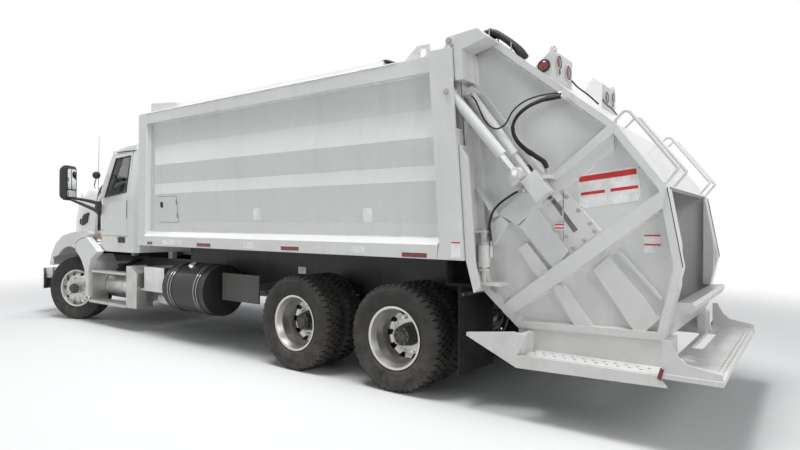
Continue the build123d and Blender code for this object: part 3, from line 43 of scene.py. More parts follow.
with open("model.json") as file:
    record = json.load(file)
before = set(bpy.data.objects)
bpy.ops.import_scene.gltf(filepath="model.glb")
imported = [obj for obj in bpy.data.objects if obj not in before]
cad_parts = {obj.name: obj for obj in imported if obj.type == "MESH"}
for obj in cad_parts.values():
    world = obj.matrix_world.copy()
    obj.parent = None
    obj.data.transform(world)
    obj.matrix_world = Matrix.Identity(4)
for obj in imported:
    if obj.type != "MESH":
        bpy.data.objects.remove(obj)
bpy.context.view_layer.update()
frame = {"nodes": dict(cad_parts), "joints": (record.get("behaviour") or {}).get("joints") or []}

# Stations are counted forward from the rearmost axle, as on the drawing
rear_low, rear_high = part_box("rear_tyres_left")
rear_axle_x = (rear_low.x + rear_high.x) / 2


upward = Vector((0, 0, 1))
leftward = Vector((0, 1, 0))
backward = Vector((-1, 0, 0))


def at(x, y, z):
    """Point given by its station, its distance left of the centre line and its height."""
    return Vector((x + rear_axle_x, y, z))


def stations(points):
    """Points for a list of (station, distance left, height)."""
    return [at(*p) for p in points]


# Shapes: each gives a list of corners and a list of faces


def block(low, high):
    """Box between two corners given by station."""
    a, b = at(*low), at(*high)
    corners = [(x, y, z) for z in (a.z, b.z) for y in (a.y, b.y) for x in (a.x, b.x)]
    faces = [(0, 2, 3, 1), (4, 5, 7, 6), (0, 1, 5, 4), (2, 6, 7, 3), (0, 4, 6, 2), (1, 3, 7, 5)]
    return corners, faces


def closed_faces(count):
    """Faces of a solid between two equal loops of corners."""
    faces = [tuple(range(count)), tuple(reversed(range(count, 2 * count)))]
    return faces + [(i, i + count, (i + 1) % count + count, (i + 1) % count) for i in range(count)]


def plate(outline, y0, y1):
    """Side-view outline of stations and heights, pushed across from y0 to y1."""
    corners = [at(x, y, z) for y in (y0, y1) for x, z in outline]
    return corners, closed_faces(len(outline))


def upright(x0, x1, z0, z1, y0, y1):
    """Upright rectangular plate between two stations, two heights and two distances across."""
    return plate([(x0, z0), (x0, z1), (x1, z1), (x1, z0)], y0, y1)


def frame_along(direction):
    """Two directions square to one another and to a given one."""
    d = Vector(direction).normalized()
    side = d.cross(Vector((0, 0, 1)))
    if side.length < 0.05:
        side = d.cross(Vector((0, 1, 0)))
    side.normalize()
    return d, side, d.cross(side).normalized()


def spoke(side, up, angle):
    """Direction at an angle from side towards up."""
    return side * math.cos(angle) + up * math.sin(angle)


def turned_faces(turns, count, strips):
    """Faces between the rows of a turned form, with count corners in each row."""
    rows = [(i * count, (i + 1) % turns * count) for i in range(turns)]
    return [(a + k, b + k, b + (k + 1) % count, a + (k + 1) % count) for a, b in rows for k in range(strips)]


def lathe(profile, centre, axis, steps=32, closed=False):
    """Profile of (radius, distance along the axis) turned about an axis through centre."""
    d, side, up = frame_along(axis)
    corners = []
    for i in range(steps):
        out = spoke(side, up, 2 * math.pi * i / steps)
        corners += [centre + out * r + d * a for r, a in profile]
    n = len(profile)
    return corners, turned_faces(steps, n, n if closed else n - 1)


def round_bar(a, b, radius, steps=20):
    """Solid round bar between two points."""
    span = b - a
    return lathe([(0, 0), (radius, 0), (radius, span.length), (0, span.length)], a, span, steps)


def hexagon(centre, axis, radius, height):
    """Bolt head or nut with a bevelled top."""
    profile = [(0, 0), (radius, 0), (radius, height * 0.8), (radius * 0.82, height), (0, height)]
    return lathe(profile, centre, axis, 6)


def round_lens(centre, out, radius, bulge):
    """Domed lens that stands on a face."""
    dome = [(0, 1), (0.45, 0.93), (0.8, 0.68), (0.97, 0.3), (1, 0)]
    return lathe([(radius * r, bulge * h) for r, h in dome], centre, out, 36)


def ring(centre, out, outer, inner, height):
    """Flat collar round a lens, hole or bolt."""
    shoulder = height * 0.8
    profile = [(inner, 0), (outer, 0), (outer, shoulder), ((outer + inner) / 2, height), (inner, shoulder)]
    return lathe(profile, centre, out, 32, closed=True)


def pin_cap(centre, radius, flange, rise):
    """Pin end that stands out to the left of a flange."""
    wide = radius * flange
    neck, tip = rise + 0.002, 2 * rise + 0.002
    profile = [(0, 0), (wide, 0), (wide, rise), (radius, neck), (radius, tip), (0, tip + 0.001)]
    return lathe(profile, centre, leftward, 24)


def pipe(points, radius, steps=12):
    """Tube along a list of points, of one radius or with a radius for each point."""
    radii = radius if isinstance(radius, list) else [radius] * len(points)
    corners, faces = [], []
    previous = None
    for i, p in enumerate(points):
        d = (points[min(i + 1, len(points) - 1)] - points[max(i - 1, 0)]).normalized()
        if previous is None:
            _, side, _ = frame_along(d)
        else:
            side = (previous - d * previous.dot(d)).normalized()
        previous = side
        up = d.cross(side)
        corners += [p + spoke(side, up, 2 * math.pi * k / steps) * radii[i] for k in range(steps)]
    for i in range(len(points) - 1):
        for k in range(steps):
            a, b = i * steps + k, i * steps + (k + 1) % steps
            faces.append((a, b, b + steps, a + steps))
    faces.append(tuple(reversed(range(steps))))
    faces.append(tuple(range(len(corners) - steps, len(corners))))
    return corners, faces


def bars_along(points, radius, steps):
    """Straight thin bars from each point to the next."""
    return [pipe([a, b], radius, steps) for a, b in zip(points, points[1:])]


def spline_curve(name, points, steps):
    """Smooth curve that has the given points as its control points."""
    curve = bpy.data.curves.new(name, "CURVE")
    curve.dimensions = "3D"
    spline = curve.splines.new("NURBS")
    spline.points.add(len(points) - 1)
    for spot, p in zip(spline.points, points):
        spot.co = (p.x, p.y, p.z, 1)
    spline.order_u = 3
    spline.use_endpoint_u = True
    spline.resolution_u = steps
    return curve


def smooth_line(points, steps=10):
    """Points along the smooth curve of the given control points."""
    curve = spline_curve("route", points, steps)
    holder = bpy.data.objects.new("route", curve)
    mesh = bpy.data.meshes.new_from_object(holder)
    line = [v.co.copy() for v in mesh.vertices]
    bpy.data.meshes.remove(mesh)
    bpy.data.objects.remove(holder)
    bpy.data.curves.remove(curve)
    return line


def stretch_of(line, start, length):
    """Part of a line between two distances along it, with its own end points."""
    part, run = [], 0.0
    for a, b in zip(line, line[1:]):
        step = (b - a).length
        marks = [mark for mark in (start, start + length) if run <= mark < run + step]
        part += [a.lerp(b, (mark - run) / step) for mark in marks]
        run += step
        if start < run < start + length:
            part.append(b.copy())
    return part


def line_length(line):
    """Length of a line of points."""
    return sum((b - a).length for a, b in zip(line, line[1:]))


def corrugated(points, radius, pitch=0.012):
    """Ribbed conduit along a smooth line through the given control points."""
    line = smooth_line(points, steps=14)
    total = line_length(line)
    count = int(total / (pitch / 2)) + 1
    spots = [stretch_of(line, total * i / count, total * 0.9 / count)[0] for i in range(count)]
    return pipe(spots, [radius if i % 2 else radius * 0.86 for i in range(len(spots))], 14)


def arched_skin(sections, fullness, thick, steps=36):
    """Curved cover over a row of cross-sections, hollow below."""
    corners, faces = [], []
    for shrink in (0.0, thick):
        for x, half, crown, low in sections:
            for i in range(steps + 1):
                t = math.pi * i / steps
                across = math.copysign(abs(math.cos(t)) ** (2 / fullness), math.cos(t))
                rise = math.sin(t) ** (2 / fullness) if 0 < i < steps else 0.0
                corners.append(at(x, across * (half - shrink), low + rise * (crown - shrink - low)))
    row = steps + 1
    inner = len(sections) * row
    starts = [j * row for j in range(len(sections))]
    for base in (0, inner):
        for a in starts[:-1]:
            a += base
            faces += [(a + i, a + i + 1, a + row + i + 1, a + row + i) for i in range(steps)]
    for a in (starts[0], starts[-1]):
        faces += [(a + i, a + i + 1, inner + a + i + 1, inner + a + i) for i in range(steps)]
    for i in (0, steps):
        faces += [(a + i, a + row + i, inner + a + row + i, inner + a + i) for a in starts[:-1]]
    return corners, faces


def rounded_outline(half_u, half_v, radius, steps=6):
    """Corners of a rectangle with rounded corners, as (u, v)."""
    points = []
    for k, (su, sv) in enumerate(((1, 1), (-1, 1), (-1, -1), (1, -1))):
        for i in range(steps + 1):
            t = math.pi / 2 * (k + i / steps)
            u = su * (half_u - radius) + radius * math.cos(t)
            v = sv * (half_v - radius) + radius * math.sin(t)
            points.append((u, v))
    return points


def shell_of(centre, axes, loops):
    """Closed form through rounded rectangles: each is (half width, half height, radius, depth)."""
    u, v, w = axes
    corners, faces = [], []
    for wide, high, radius, depth in loops:
        outline = rounded_outline(wide, high, radius)
        corners += [centre + u * p + v * q + w * depth for p, q in outline]
    count = len(outline)
    last = len(corners) - count
    for a in range(0, last, count):
        for i in range(count):
            j = (i + 1) % count
            faces.append((a + i, a + j, a + count + j, a + count + i))
    faces += [tuple(reversed(range(count))), tuple(range(last, last + count))]
    return corners, faces


def mirrored(shape):
    """The same shape on the other side of the truck."""
    corners, faces = shape
    return [Vector((c[0], -c[1], c[2])) for c in corners], [tuple(reversed(f)) for f in faces]


def both(shapes):
    """The shapes and their mirror images."""
    return list(shapes) + [mirrored(s) for s in shapes]


# The record's material slot that each finish belongs to, where there is one
slot_of = {
    "tyre_rubber": "tyre_rubber", "hose_rubber": "hose_rubber", "frame_black": "frame_black",
    "black_plastic": "black_plastic", "dark_gasket": "black_plastic", "chrome": "bright",
    "worn_steel": "bright", "cast_iron": "cast", "cab_white": "cab_paint", "body_white": "body_paint",
    "gate_white": "gate_paint",
}


def piece(name, shapes, body, label, slot=None, sharp=35.0, bevel=0.0, replaces=()):
    """One object made of several shapes, that rides on a body of the truck; label names its finish."""
    bm = bmesh.new()
    for corners, faces in shapes:
        made = [bm.verts.new(c) for c in corners]
        for face in faces:
            if len({made[i] for i in face}) == len(face):
                bm.faces.new([made[i] for i in face])
    bmesh.ops.remove_doubles(bm, verts=bm.verts, dist=0.00002)
    bmesh.ops.dissolve_degenerate(bm, dist=0.00001, edges=bm.edges)
    bmesh.ops.recalc_face_normals(bm, faces=bm.faces)
    mesh = bpy.data.meshes.new(name)
    bm.to_mesh(mesh)
    bm.free()
    mesh.materials.append(finish[label])
    made_object = bpy.data.objects.new(name, mesh)
    bpy.context.scene.collection.objects.link(made_object)
    mesh.shade_smooth()
    if bevel:
        edge = made_object.modifiers.new("soft_edges", "BEVEL")
        edge.width = bevel
        edge.segments = 2
        edge.limit_method = "ANGLE"
        edge.angle_limit = math.radians(38)
    mesh.set_sharp_from_angle(angle=math.radians(sharp))
    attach(made_object, body)
    if replaces:
        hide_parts(*replaces)
    slot = slot or slot_of.get(label)
    return made_object


# Shader groups that several finishes share


def group_of(name, inputs, output):
    """Empty shader group, with the sockets that come in and the one that goes out."""
    group = bpy.data.node_groups.new(name, "ShaderNodeTree")
    for label, value in inputs.items():
        kind = "NodeSocketVector" if isinstance(value, tuple) else "NodeSocketFloat"
        group.interface.new_socket(label, in_out="INPUT", socket_type=kind).default_value = value
    group.interface.new_socket(output, in_out="OUTPUT", socket_type="NodeSocketFloat")
    end = group.nodes.new("NodeGroupOutput").inputs[output]
    return group, group.nodes.new("NodeGroupInput").outputs, end


def add(tree, kind, links=None, **settings):
    """New shader node with its settings, and its inputs linked or set by name or place."""
    node = tree.nodes.new(f"ShaderNode{kind}")
    for key, value in settings.items():
        setattr(node, key, value)
    for key, value in (links or {}).items():
        socket = node.inputs[key]
        if isinstance(value, bpy.types.NodeSocket):
            tree.links.new(value, socket)
        else:
            socket.default_value = value
    return node


def combine(tree, operation, first, second, clamp=False):
    """One value worked out from two."""
    return add(tree, "Math", {0: first, 1: second}, operation=operation, use_clamp=clamp).outputs[0]


def noise(tree, where, scale, detail, **more):
    """Soft noise between 0 and 1 at a place."""
    settings = {"Vector": where, "Scale": scale, "Detail": detail} | more
    return add(tree, "TexNoise", settings).outputs["Fac"]


def ranged(tree, value, low, high):
    """Value stretched so that low becomes 0 and high becomes 1."""
    return add(tree, "MapRange", {"Value": value, "From Min": low, "From Max": high}).outputs[0]


def mottle_group():
    """Two sizes of soft blotches between 0 and 1, in object space."""
    group, come, end = group_of("mottle", {"Scale": 3.0, "Fine": 40.0, "Low": 0.35, "High": 0.65}, "Mask")
    where = add(group, "TexCoord").outputs["Object"]
    large = noise(group, where, come["Scale"], 4.0)
    small = noise(group, where, come["Fine"], 3.0)
    both_sizes = add(group, "Mix", {0: 0.35, 2: large, 3: small})
    group.links.new(ranged(group, both_sizes.outputs[0], come["Low"], come["High"]), end)
    return group


def dust_group():
    """Road dust: thick low down, thin higher up, broken by blotches."""
    group, come, end = group_of("road_dust", {"Top": 1.0, "Amount": 0.4, "Scale": 4.0}, "Mask")
    spot = add(group, "NewGeometry").outputs["Position"]
    height = add(group, "SeparateXYZ", {0: spot}).outputs["Z"]
    low = ranged(group, height, come["Top"], 0.0)
    blotch = ranged(group, noise(group, spot, come["Scale"], 6.0, Roughness=0.62), 0.3, 0.72)
    body = combine(group, "MULTIPLY", low, blotch)
    group.links.new(combine(group, "MULTIPLY", body, come["Amount"], True), end)
    return group


def streak_group():
    """Faint rain streaks that run down an upright surface."""
    group, come, end = group_of("rain_streaks", {"Scale": 9.0, "Amount": 0.3}, "Mask")
    spot = add(group, "NewGeometry").outputs["Position"]
    squeezed = add(group, "Mapping", {"Vector": spot, "Scale": (1.0, 1.0, 0.06)}).outputs[0]
    lines = ranged(group, noise(group, squeezed, come["Scale"], 5.0), 0.52, 0.75)
    group.links.new(combine(group, "MULTIPLY", lines, come["Amount"], True), end)
    return group


def ripple_group():
    """Height of a fine skin: paint ripple, casting grain or rubber grain."""
    group, come, end = group_of("fine_skin", {"Scale": 250.0, "Wave": 2.0, "Wave Share": 0.5}, "Height")
    where = add(group, "TexCoord").outputs["Object"]
    fine = noise(group, where, come["Scale"], 2.0)
    wave = noise(group, where, come["Wave"], 1.0)
    mixed = add(group, "Mix", {0: come["Wave Share"], 2: fine, 3: wave})
    group.links.new(mixed.outputs[0], end)
    return group


def brushed_group():
    """Fine lines across one direction, as on brushed or turned metal."""
    group, come, end = group_of("brush_lines", {"Stretch": (1.0, 1.0, 60.0), "Scale": 6.0}, "Mask")
    where = add(group, "TexCoord").outputs["Object"]
    pulled = add(group, "Mapping", {"Vector": where, "Scale": come["Stretch"]}).outputs[0]
    group.links.new(noise(group, pulled, come["Scale"], 4.0), end)
    return group


shared = {}
finish = {}


def use(tree, name, **values):
    """Place a shared group in a material, with its own values, and give back what it puts out."""
    node = add(tree, "Group")
    node.node_tree = shared[name]
    for key, value in values.items():
        node.inputs[key.replace("_", " ")].default_value = value
    return node.outputs[0]


def new_finish(name, rough, metal=0.0, **shader_values):
    """Material with its Principled shader, ready for colour and bump."""
    finish[name] = bpy.data.materials.new(name)
    finish[name].use_nodes = True
    tree = finish[name].node_tree
    shader = tree.nodes["Principled BSDF"]
    shader.inputs["Roughness"].default_value = rough
    shader.inputs["Metallic"].default_value = metal
    for key, value in shader_values.items():
        shader.inputs[key.replace("_", " ")].default_value = value
    return tree, shader


def colour_by(tree, mask, first, second):
    """Colour that goes from first to second with a mask; either may be another socket."""
    ends = [value if isinstance(value, bpy.types.NodeSocket) else (*value, 1.0) for value in (first, second)]
    return add(tree, "Mix", {0: mask, 6: ends[0], 7: ends[1]}, data_type="RGBA").outputs[2]


def value_by(tree, mask, low, high):
    """Value that goes from low to high with a mask."""
    return add(tree, "MapRange", {"Value": mask, "To Min": low, "To Max": high}).outputs[0]


def bump(tree, shader, height, strength, distance):
    """Fine relief from a height, on the shader's normal."""
    node = add(tree, "Bump", {"Height": height, "Strength": strength, "Distance": distance})
    tree.links.new(node.outputs[0], shader.inputs["Normal"])


def connect(tree, shader, colour, rough=None):
    """Link a colour, and a roughness where there is one, to the shader."""
    tree.links.new(colour, shader.inputs["Base Color"])
    if rough:
        tree.links.new(rough, shader.inputs["Roughness"])


def times(colour, factor):
    """Darker or lighter shade of a colour."""
    return tuple(c * factor for c in colour)


def paint(name, colour, rough, coat, dust_top, dust_amount, dust_colour=(0.36, 0.31, 0.25)):
    """Sprayed enamel with slight ripple, faint streaks and road dust."""
    tree, shader = new_finish(name, rough, Coat_Weight=coat, Coat_Roughness=0.08)
    base = colour_by(tree, use(tree, "mottle", Scale=1.3, Fine=14.0), colour, times(colour, 0.93))
    base = colour_by(tree, use(tree, "rain_streaks", Scale=7.0, Amount=0.10), base, dust_colour)
    dust = use(tree, "road_dust", Top=dust_top, Amount=dust_amount, Scale=5.0)
    base = colour_by(tree, dust, base, dust_colour)
    connect(tree, shader, base, value_by(tree, dust, rough, 0.85))
    bump(tree, shader, use(tree, "fine_skin", Scale=180.0, Wave=1.6, Wave_Share=0.93), 0.35, 0.004)


def metal(name, colour, rough, stretch, dust_amount, dust_top=1.2, spread=0.12):
    """Bare metal with brush lines and a film of dust."""
    tree, shader = new_finish(name, rough, 1.0)
    lines = use(tree, "brush_lines", Stretch=stretch, Scale=5.0)
    base = colour_by(tree, use(tree, "mottle", Scale=6.0, Fine=60.0), colour, times(colour, 0.8))
    dust = use(tree, "road_dust", Top=dust_top, Amount=dust_amount, Scale=9.0)
    base = colour_by(tree, dust, base, (0.33, 0.29, 0.24))
    connect(tree, shader, base, value_by(tree, lines, max(rough - spread, 0.03), rough + spread))
    tree.links.new(value_by(tree, dust, 1.0, 0.15), shader.inputs["Metallic"])
    bump(tree, shader, lines, 0.15, 0.0006)


def plain_skin(name, colour, rough, grain, depth, dust_amount=0.3, dust_top=1.2, spec=0.4):
    """Rubber, moulded plastic or fabric with its grain and dust."""
    tree, shader = new_finish(name, rough, Specular_IOR_Level=spec)
    mottle = use(tree, "mottle", Scale=8.0, Fine=70.0)
    base = colour_by(tree, mottle, colour, tuple(min(c * 1.6 + 0.01, 1.0) for c in colour))
    dust = use(tree, "road_dust", Top=dust_top, Amount=dust_amount, Scale=11.0)
    base = colour_by(tree, dust, base, (0.30, 0.27, 0.23))
    connect(tree, shader, base, value_by(tree, mottle, rough, min(rough + 0.12, 1.0)))
    bump(tree, shader, use(tree, "fine_skin", Scale=grain, Wave=20.0, Wave_Share=0.2), 0.5, depth)


def lens(name, colour):
    """Moulded lamp lens with small prisms."""
    tree, shader = new_finish(name, 0.12, Coat_Weight=0.6)
    where = add(tree, "TexCoord").outputs["Object"]
    prisms = add(tree, "TexVoronoi", {"Vector": where, "Scale": 160.0}).outputs["Distance"]
    connect(tree, shader, colour_by(tree, prisms, colour, times(colour, 0.45)))
    bump(tree, shader, prisms, 0.5, 0.002)


def glass(name, tint, alpha):
    """Tinted glass that lets some light through."""
    tree, shader = new_finish(name, 0.03, Specular_IOR_Level=0.6, Alpha=alpha)
    mottle = use(tree, "mottle", Scale=5.0, Fine=30.0)
    connect(tree, shader, colour_by(tree, mottle, tint, times(tint, 0.85)))
    finish[name].surface_render_method = "DITHERED"


# Wheels


def wheel_places():
    """Body, centre and outboard direction of each wheel or pair of wheels, from the spin joints."""
    for joint in frame["joints"]:
        if not joint["name"].endswith("_spin"):
            continue
        centre = Vector(joint["pos_m"])
        out = Vector(joint["axis"]).normalized()
        if centre.y < 0:
            out = -out
        yield joint["child"], centre, out


# Outer wall of a tyre from the bead to the shoulder: radius, distance from the mid plane
tyre_wall = [
    (0.2990, 0.1040), (0.3130, 0.1170), (0.3280, 0.1272), (0.3300, 0.1300), (0.3400, 0.1335),
    (0.3420, 0.1325), (0.3700, 0.1412), (0.3950, 0.1440), (0.4200, 0.1437), (0.4400, 0.1408),
    (0.4420, 0.1425), (0.4600, 0.1345), (0.4730, 0.1270), (0.4900, 0.1240), (0.4980, 0.1190),
]


def tyre_shape(centre, out, drive):
    """Tyre with a moulded tread: blocks for the driven wheels, ribs for the steered ones."""
    # marks are the edges of the cross cuts, as shares of one lug's turn
    if drive:
        lugs, marks = 46, (0.0, 0.04, 0.28, 0.32, 0.5, 0.54, 0.78, 0.82)
        groove_centres, groove_half, depth = (-0.058, 0.0, 0.058), 0.0065, 0.019
        cut_a, cut_b = (0.04, 0.28), (0.54, 0.78)
    else:
        lugs, marks = 60, (0.0, 0.10, 0.16, 0.60)
        groove_centres, groove_half, depth = (-0.072, -0.025, 0.025, 0.072), 0.0055, 0.014
        cut_a = cut_b = (0.10, 0.16)
    crown_radius, shoulder_radius, shoulder_start = 0.5045, 0.5005, 0.11
    notch_start, notch_depth, edge_start = 0.485, 0.012, 0.09
    lip, slack = groove_half + 0.0015, 0.001
    crown = [-0.112, -0.104]
    for g in groove_centres:
        crown += [g - lip, g - groove_half, g + groove_half, g + lip]
    crown += [0.104, 0.112]
    profile = [(r, -a) for r, a in tyre_wall] + [(None, a) for a in crown]
    profile += [(r, a) for r, a in reversed(tyre_wall)]
    d, side, up = frame_along(out)
    rows = [(2 * math.pi * (i + mark) / lugs, mark) for i in range(lugs) for mark in marks]
    corners = []
    for angle, mark in rows:
        turn = spoke(side, up, angle)
        for r, a in profile:
            if r is None:
                r = shoulder_radius if abs(a) > shoulder_start else crown_radius
                in_groove = any(abs(a - g) < groove_half + 0.0003 for g in groove_centres)
                rib = sum(a > g for g in groove_centres)
                low, high = cut_a if rib % 2 else cut_b
                across = low - slack <= mark <= high + slack
                if in_groove or (across and (drive or abs(a) > edge_start)):
                    r -= depth
            elif drive and r > notch_start and cut_a[0] - slack <= mark <= cut_a[1] + slack:
                r, a = r - notch_depth, a * 0.985
            corners.append(centre + turn * r + d * a)
    return corners, turned_faces(len(rows), len(profile), len(profile))


def ring_spots(centre, out, circle, count, lift):
    """Places evenly round a circle about the wheel axis, lifted outboard."""
    d, side, up = frame_along(out)
    return [centre + spoke(side, up, 2 * math.pi * i / count) * circle + d * lift for i in range(count)]


class TruckSizes(bpy.types.PropertyGroup):
    stud_ring: bpy.props.FloatProperty(
        name="Stud ring", description="Radius of the circle of wheel studs", default=0.1675, unit="LENGTH"
    )
    nut_radius: bpy.props.FloatProperty(
        name="Wheel nut", description="Radius to the corners of a wheel nut", default=0.0195, unit="LENGTH"
    )
    weld_radius: bpy.props.FloatProperty(
        name="Weld bead", description="Radius of a weld bead", default=0.005, unit="LENGTH"
    )
    lens_mm: bpy.props.FloatProperty(
        name="Lens", description="Focal length of the camera in millimetres", default=25.51
    )


class TruckColours(bpy.types.PropertyGroup):
    paint_white: bpy.props.FloatVectorProperty(
        name="White paint", description="Enamel of cab and body", subtype="COLOR", default=(0.74, 0.745, 0.73)
    )
    frame_black: bpy.props.FloatVectorProperty(
        name="Frame black", description="Paint of the chassis", subtype="COLOR", default=(0.022, 0.022, 0.024)
    )
    rubber: bpy.props.FloatVectorProperty(
        name="Rubber", description="Tyres and hoses", subtype="COLOR", default=(0.022, 0.021, 0.020)
    )
    lamp_red: bpy.props.FloatVectorProperty(
        name="Lamp red", description="Rear lamps, reflectors", subtype="COLOR", default=(0.24, 0.010, 0.012)
    )
    lamp_amber: bpy.props.FloatVectorProperty(
        name="Lamp amber", description="Side markers", subtype="COLOR", default=(0.80, 0.22, 0.01)
    )
    floor: bpy.props.FloatVectorProperty(
        name="Floor", description="Studio floor", subtype="COLOR", default=(0.66, 0.66, 0.66)
    )


# Finishes of the carried-over nodes: each takes the nodes whose names start so, the first that fits
node_finish = {
    "polished_alloy": ("front_rim", "mid_rims", "rear_rims"),
    "tyre_rubber": ("front_tyre", "mid_tyres", "rear_tyres"),
    "cast_iron": ("knuckle", "front_axle", "rear_axles", "engine_block"),
    "worn_steel": ("tie_rod", "driveline"),
    "frame_black": ("frame_rails",),
    "chrome": ("bumper", "hood_grille", "lift_rod"),
    "tread_alloy": ("cab_steps",),
    "tank_alloy": ("exhaust_drums", "battery_boxes"),
    # fuel tanks: their near-black colour is painted dark reflection, in place of polished alloy that mirrors
    # shade
    "tank_black_painted_reflection": ("fuel_tanks",),
    "dull_panel": ("side_plates",),
    "flap_rubber": ("mud_flaps",),
    "window_glass": ("door_glass", "cab_glass"),
    "cab_white": ("door_", "cab_shell", "hood_shell", "quarter_fenders"),
    "black_plastic": ("mirrors", "dash_steering"),
    "seat_fabric": ("seats",),
    "gate_white": (
        "lift_barrel", "tailgate_shell", "slide_barrels", "rear_platform", "lamp_boxes", "grab_rails",
        "packer_carriage", "sweep_panel",
    ),
    "worn_white": ("ejector_panel",),
    "body_white": ("body_",),
    "hose_rubber": ("hose_",),
}


class TRUCK_OT_finishes(bpy.types.Operator):
    """Make the materials and give one to every node carried over from the model"""

    bl_idname = "truck.finishes"
    bl_label = "Finishes"

    def execute(self, context):
        hue = context.scene.truck_colours
        for make in (mottle_group, dust_group, streak_group, ripple_group, brushed_group):
            group = make()
            shared[group.name] = group
        white = tuple(hue.paint_white)
        # name, colour, roughness, coat, height of the dust, its strength and colour
        paint("cab_white", white, 0.26, 0.6, 1.1, 0.30)
        paint("body_white", times(white, 0.98), 0.34, 0.35, 1.6, 0.30)
        paint("gate_white", times(white, 0.97), 0.36, 0.30, 1.7, 0.42)
        paint("worn_white", times(white, 0.72), 0.6, 0.0, 2.6, 0.8, (0.20, 0.16, 0.12))
        paint("frame_black", tuple(hue.frame_black), 0.45, 0.1, 1.3, 0.45, (0.17, 0.15, 0.13))
        # fuel tanks: near-black paint that stands in as painted dark reflection of polished alloy
        paint("tank_black_painted_reflection", (0.010, 0.010, 0.011), 0.52, 0.1, 1.1, 0.20, (0.12, 0.11, 0.10))
        paint("dull_panel", (0.085, 0.080, 0.076), 0.6, 0.0, 1.1, 0.35, (0.20, 0.18, 0.15))
        # name, colour, roughness, stretch of the brush lines, strength and height of the dust, spread
        metal("polished_alloy", (0.66, 0.65, 0.63), 0.34, (1.0, 40.0, 1.0), 0.22, 1.0, 0.07)
        metal("tank_alloy", (0.72, 0.72, 0.71), 0.30, (2.0, 1.0, 1.0), 0.22, 1.1, 0.06)
        metal("tread_alloy", (0.62, 0.62, 0.61), 0.38, (20.0, 20.0, 1.0), 0.45, 1.1)
        metal("chrome", (0.83, 0.84, 0.85), 0.07, (1.0, 1.0, 1.0), 0.15, 0.9, 0.04)
        metal("worn_steel", (0.40, 0.39, 0.37), 0.42, (10.0, 1.0, 10.0), 0.4, 1.2)
        metal("cast_iron", (0.07, 0.07, 0.07), 0.55, (3.0, 3.0, 3.0), 0.6, 1.1)
        metal("mirror_face", (0.78, 0.80, 0.82), 0.03, (1.0, 1.0, 1.0), 0.1, 2.0, 0.02)
        # name, colour, roughness, grain and its depth, strength and height of the dust, sheen
        plain_skin("tyre_rubber", tuple(hue.rubber), 0.74, 320.0, 0.0009, 0.26, 1.1, 0.28)
        plain_skin("hose_rubber", times(hue.rubber, 0.35), 0.5, 500.0, 0.0006, 0.06, 2.5, 0.3)
        plain_skin("flap_rubber", (0.006, 0.006, 0.006), 0.7, 240.0, 0.0010, 0.08, 1.1, 0.15)
        plain_skin("black_plastic", (0.016, 0.016, 0.017), 0.42, 420.0, 0.0006, 0.2, 2.2)
        plain_skin("dark_gasket", (0.012, 0.012, 0.012), 0.62, 300.0, 0.0005, 0.2, 2.0)
        plain_skin("seat_fabric", (0.055, 0.060, 0.075), 0.85, 700.0, 0.0010, 0.1, 1.0, 0.25)
        plain_skin("sign_white", (0.72, 0.72, 0.70), 0.4, 90.0, 0.0003, 0.25, 2.4)
        plain_skin("sign_red", (0.48, 0.020, 0.022), 0.4, 90.0, 0.0003, 0.2, 2.4)
        plain_skin("weld_white", times(white, 0.93), 0.45, 160.0, 0.0020, 0.3, 2.4)
        lens("red_lens", tuple(hue.lamp_red))
        lens("amber_lens", tuple(hue.lamp_amber))
        lens("green_lens", (0.05, 0.30, 0.12))
        lens("clear_lens", (0.62, 0.64, 0.66))
        glass("window_glass", (0.018, 0.024, 0.025), 0.36)
        for name, node in frame["nodes"].items():
            label = next(label for label, starts in node_finish.items() if name.startswith(starts))
            node.data.materials.clear()
            node.data.materials.append(finish[label])
            node.data.shade_smooth()
            node.data.set_sharp_from_angle(angle=math.radians(32))
        return {"FINISHED"}


class TRUCK_OT_tyres(bpy.types.Operator):
    """Moulded tyres in place of the plain ones"""

    bl_idname = "truck.tyres"
    bl_label = "Tyres"

    def execute(self, context):
        half_pair = 0.167
        for body, centre, out in wheel_places():
            if body.startswith("front"):
                shapes = [tyre_shape(centre, out, False)]
            else:
                shapes = [tyre_shape(centre + out * side, out, True) for side in (half_pair, -half_pair)]
            node = body.replace("wheel", "tyre")
            piece(f"{body}_treads", shapes, body, "tyre_rubber", sharp=28, replaces=(node,))
        return {"FINISHED"}


# Hubs: radius and distance outboard of the wheel centre
front_hub = [
    (0, 0.191), (0.045, 0.191), (0.060, 0.1905), (0.078, 0.180), (0.0805, 0.178), (0.0805, 0.155),
    (0.078, 0.152),
]
rear_hub = [
    (0, 0.170), (0.050, 0.170), (0.055, 0.160), (0.088, 0.1595), (0.0905, 0.150), (0.1088, 0.060),
    (0.1128, 0.020), (0.1128, 0.013),
]


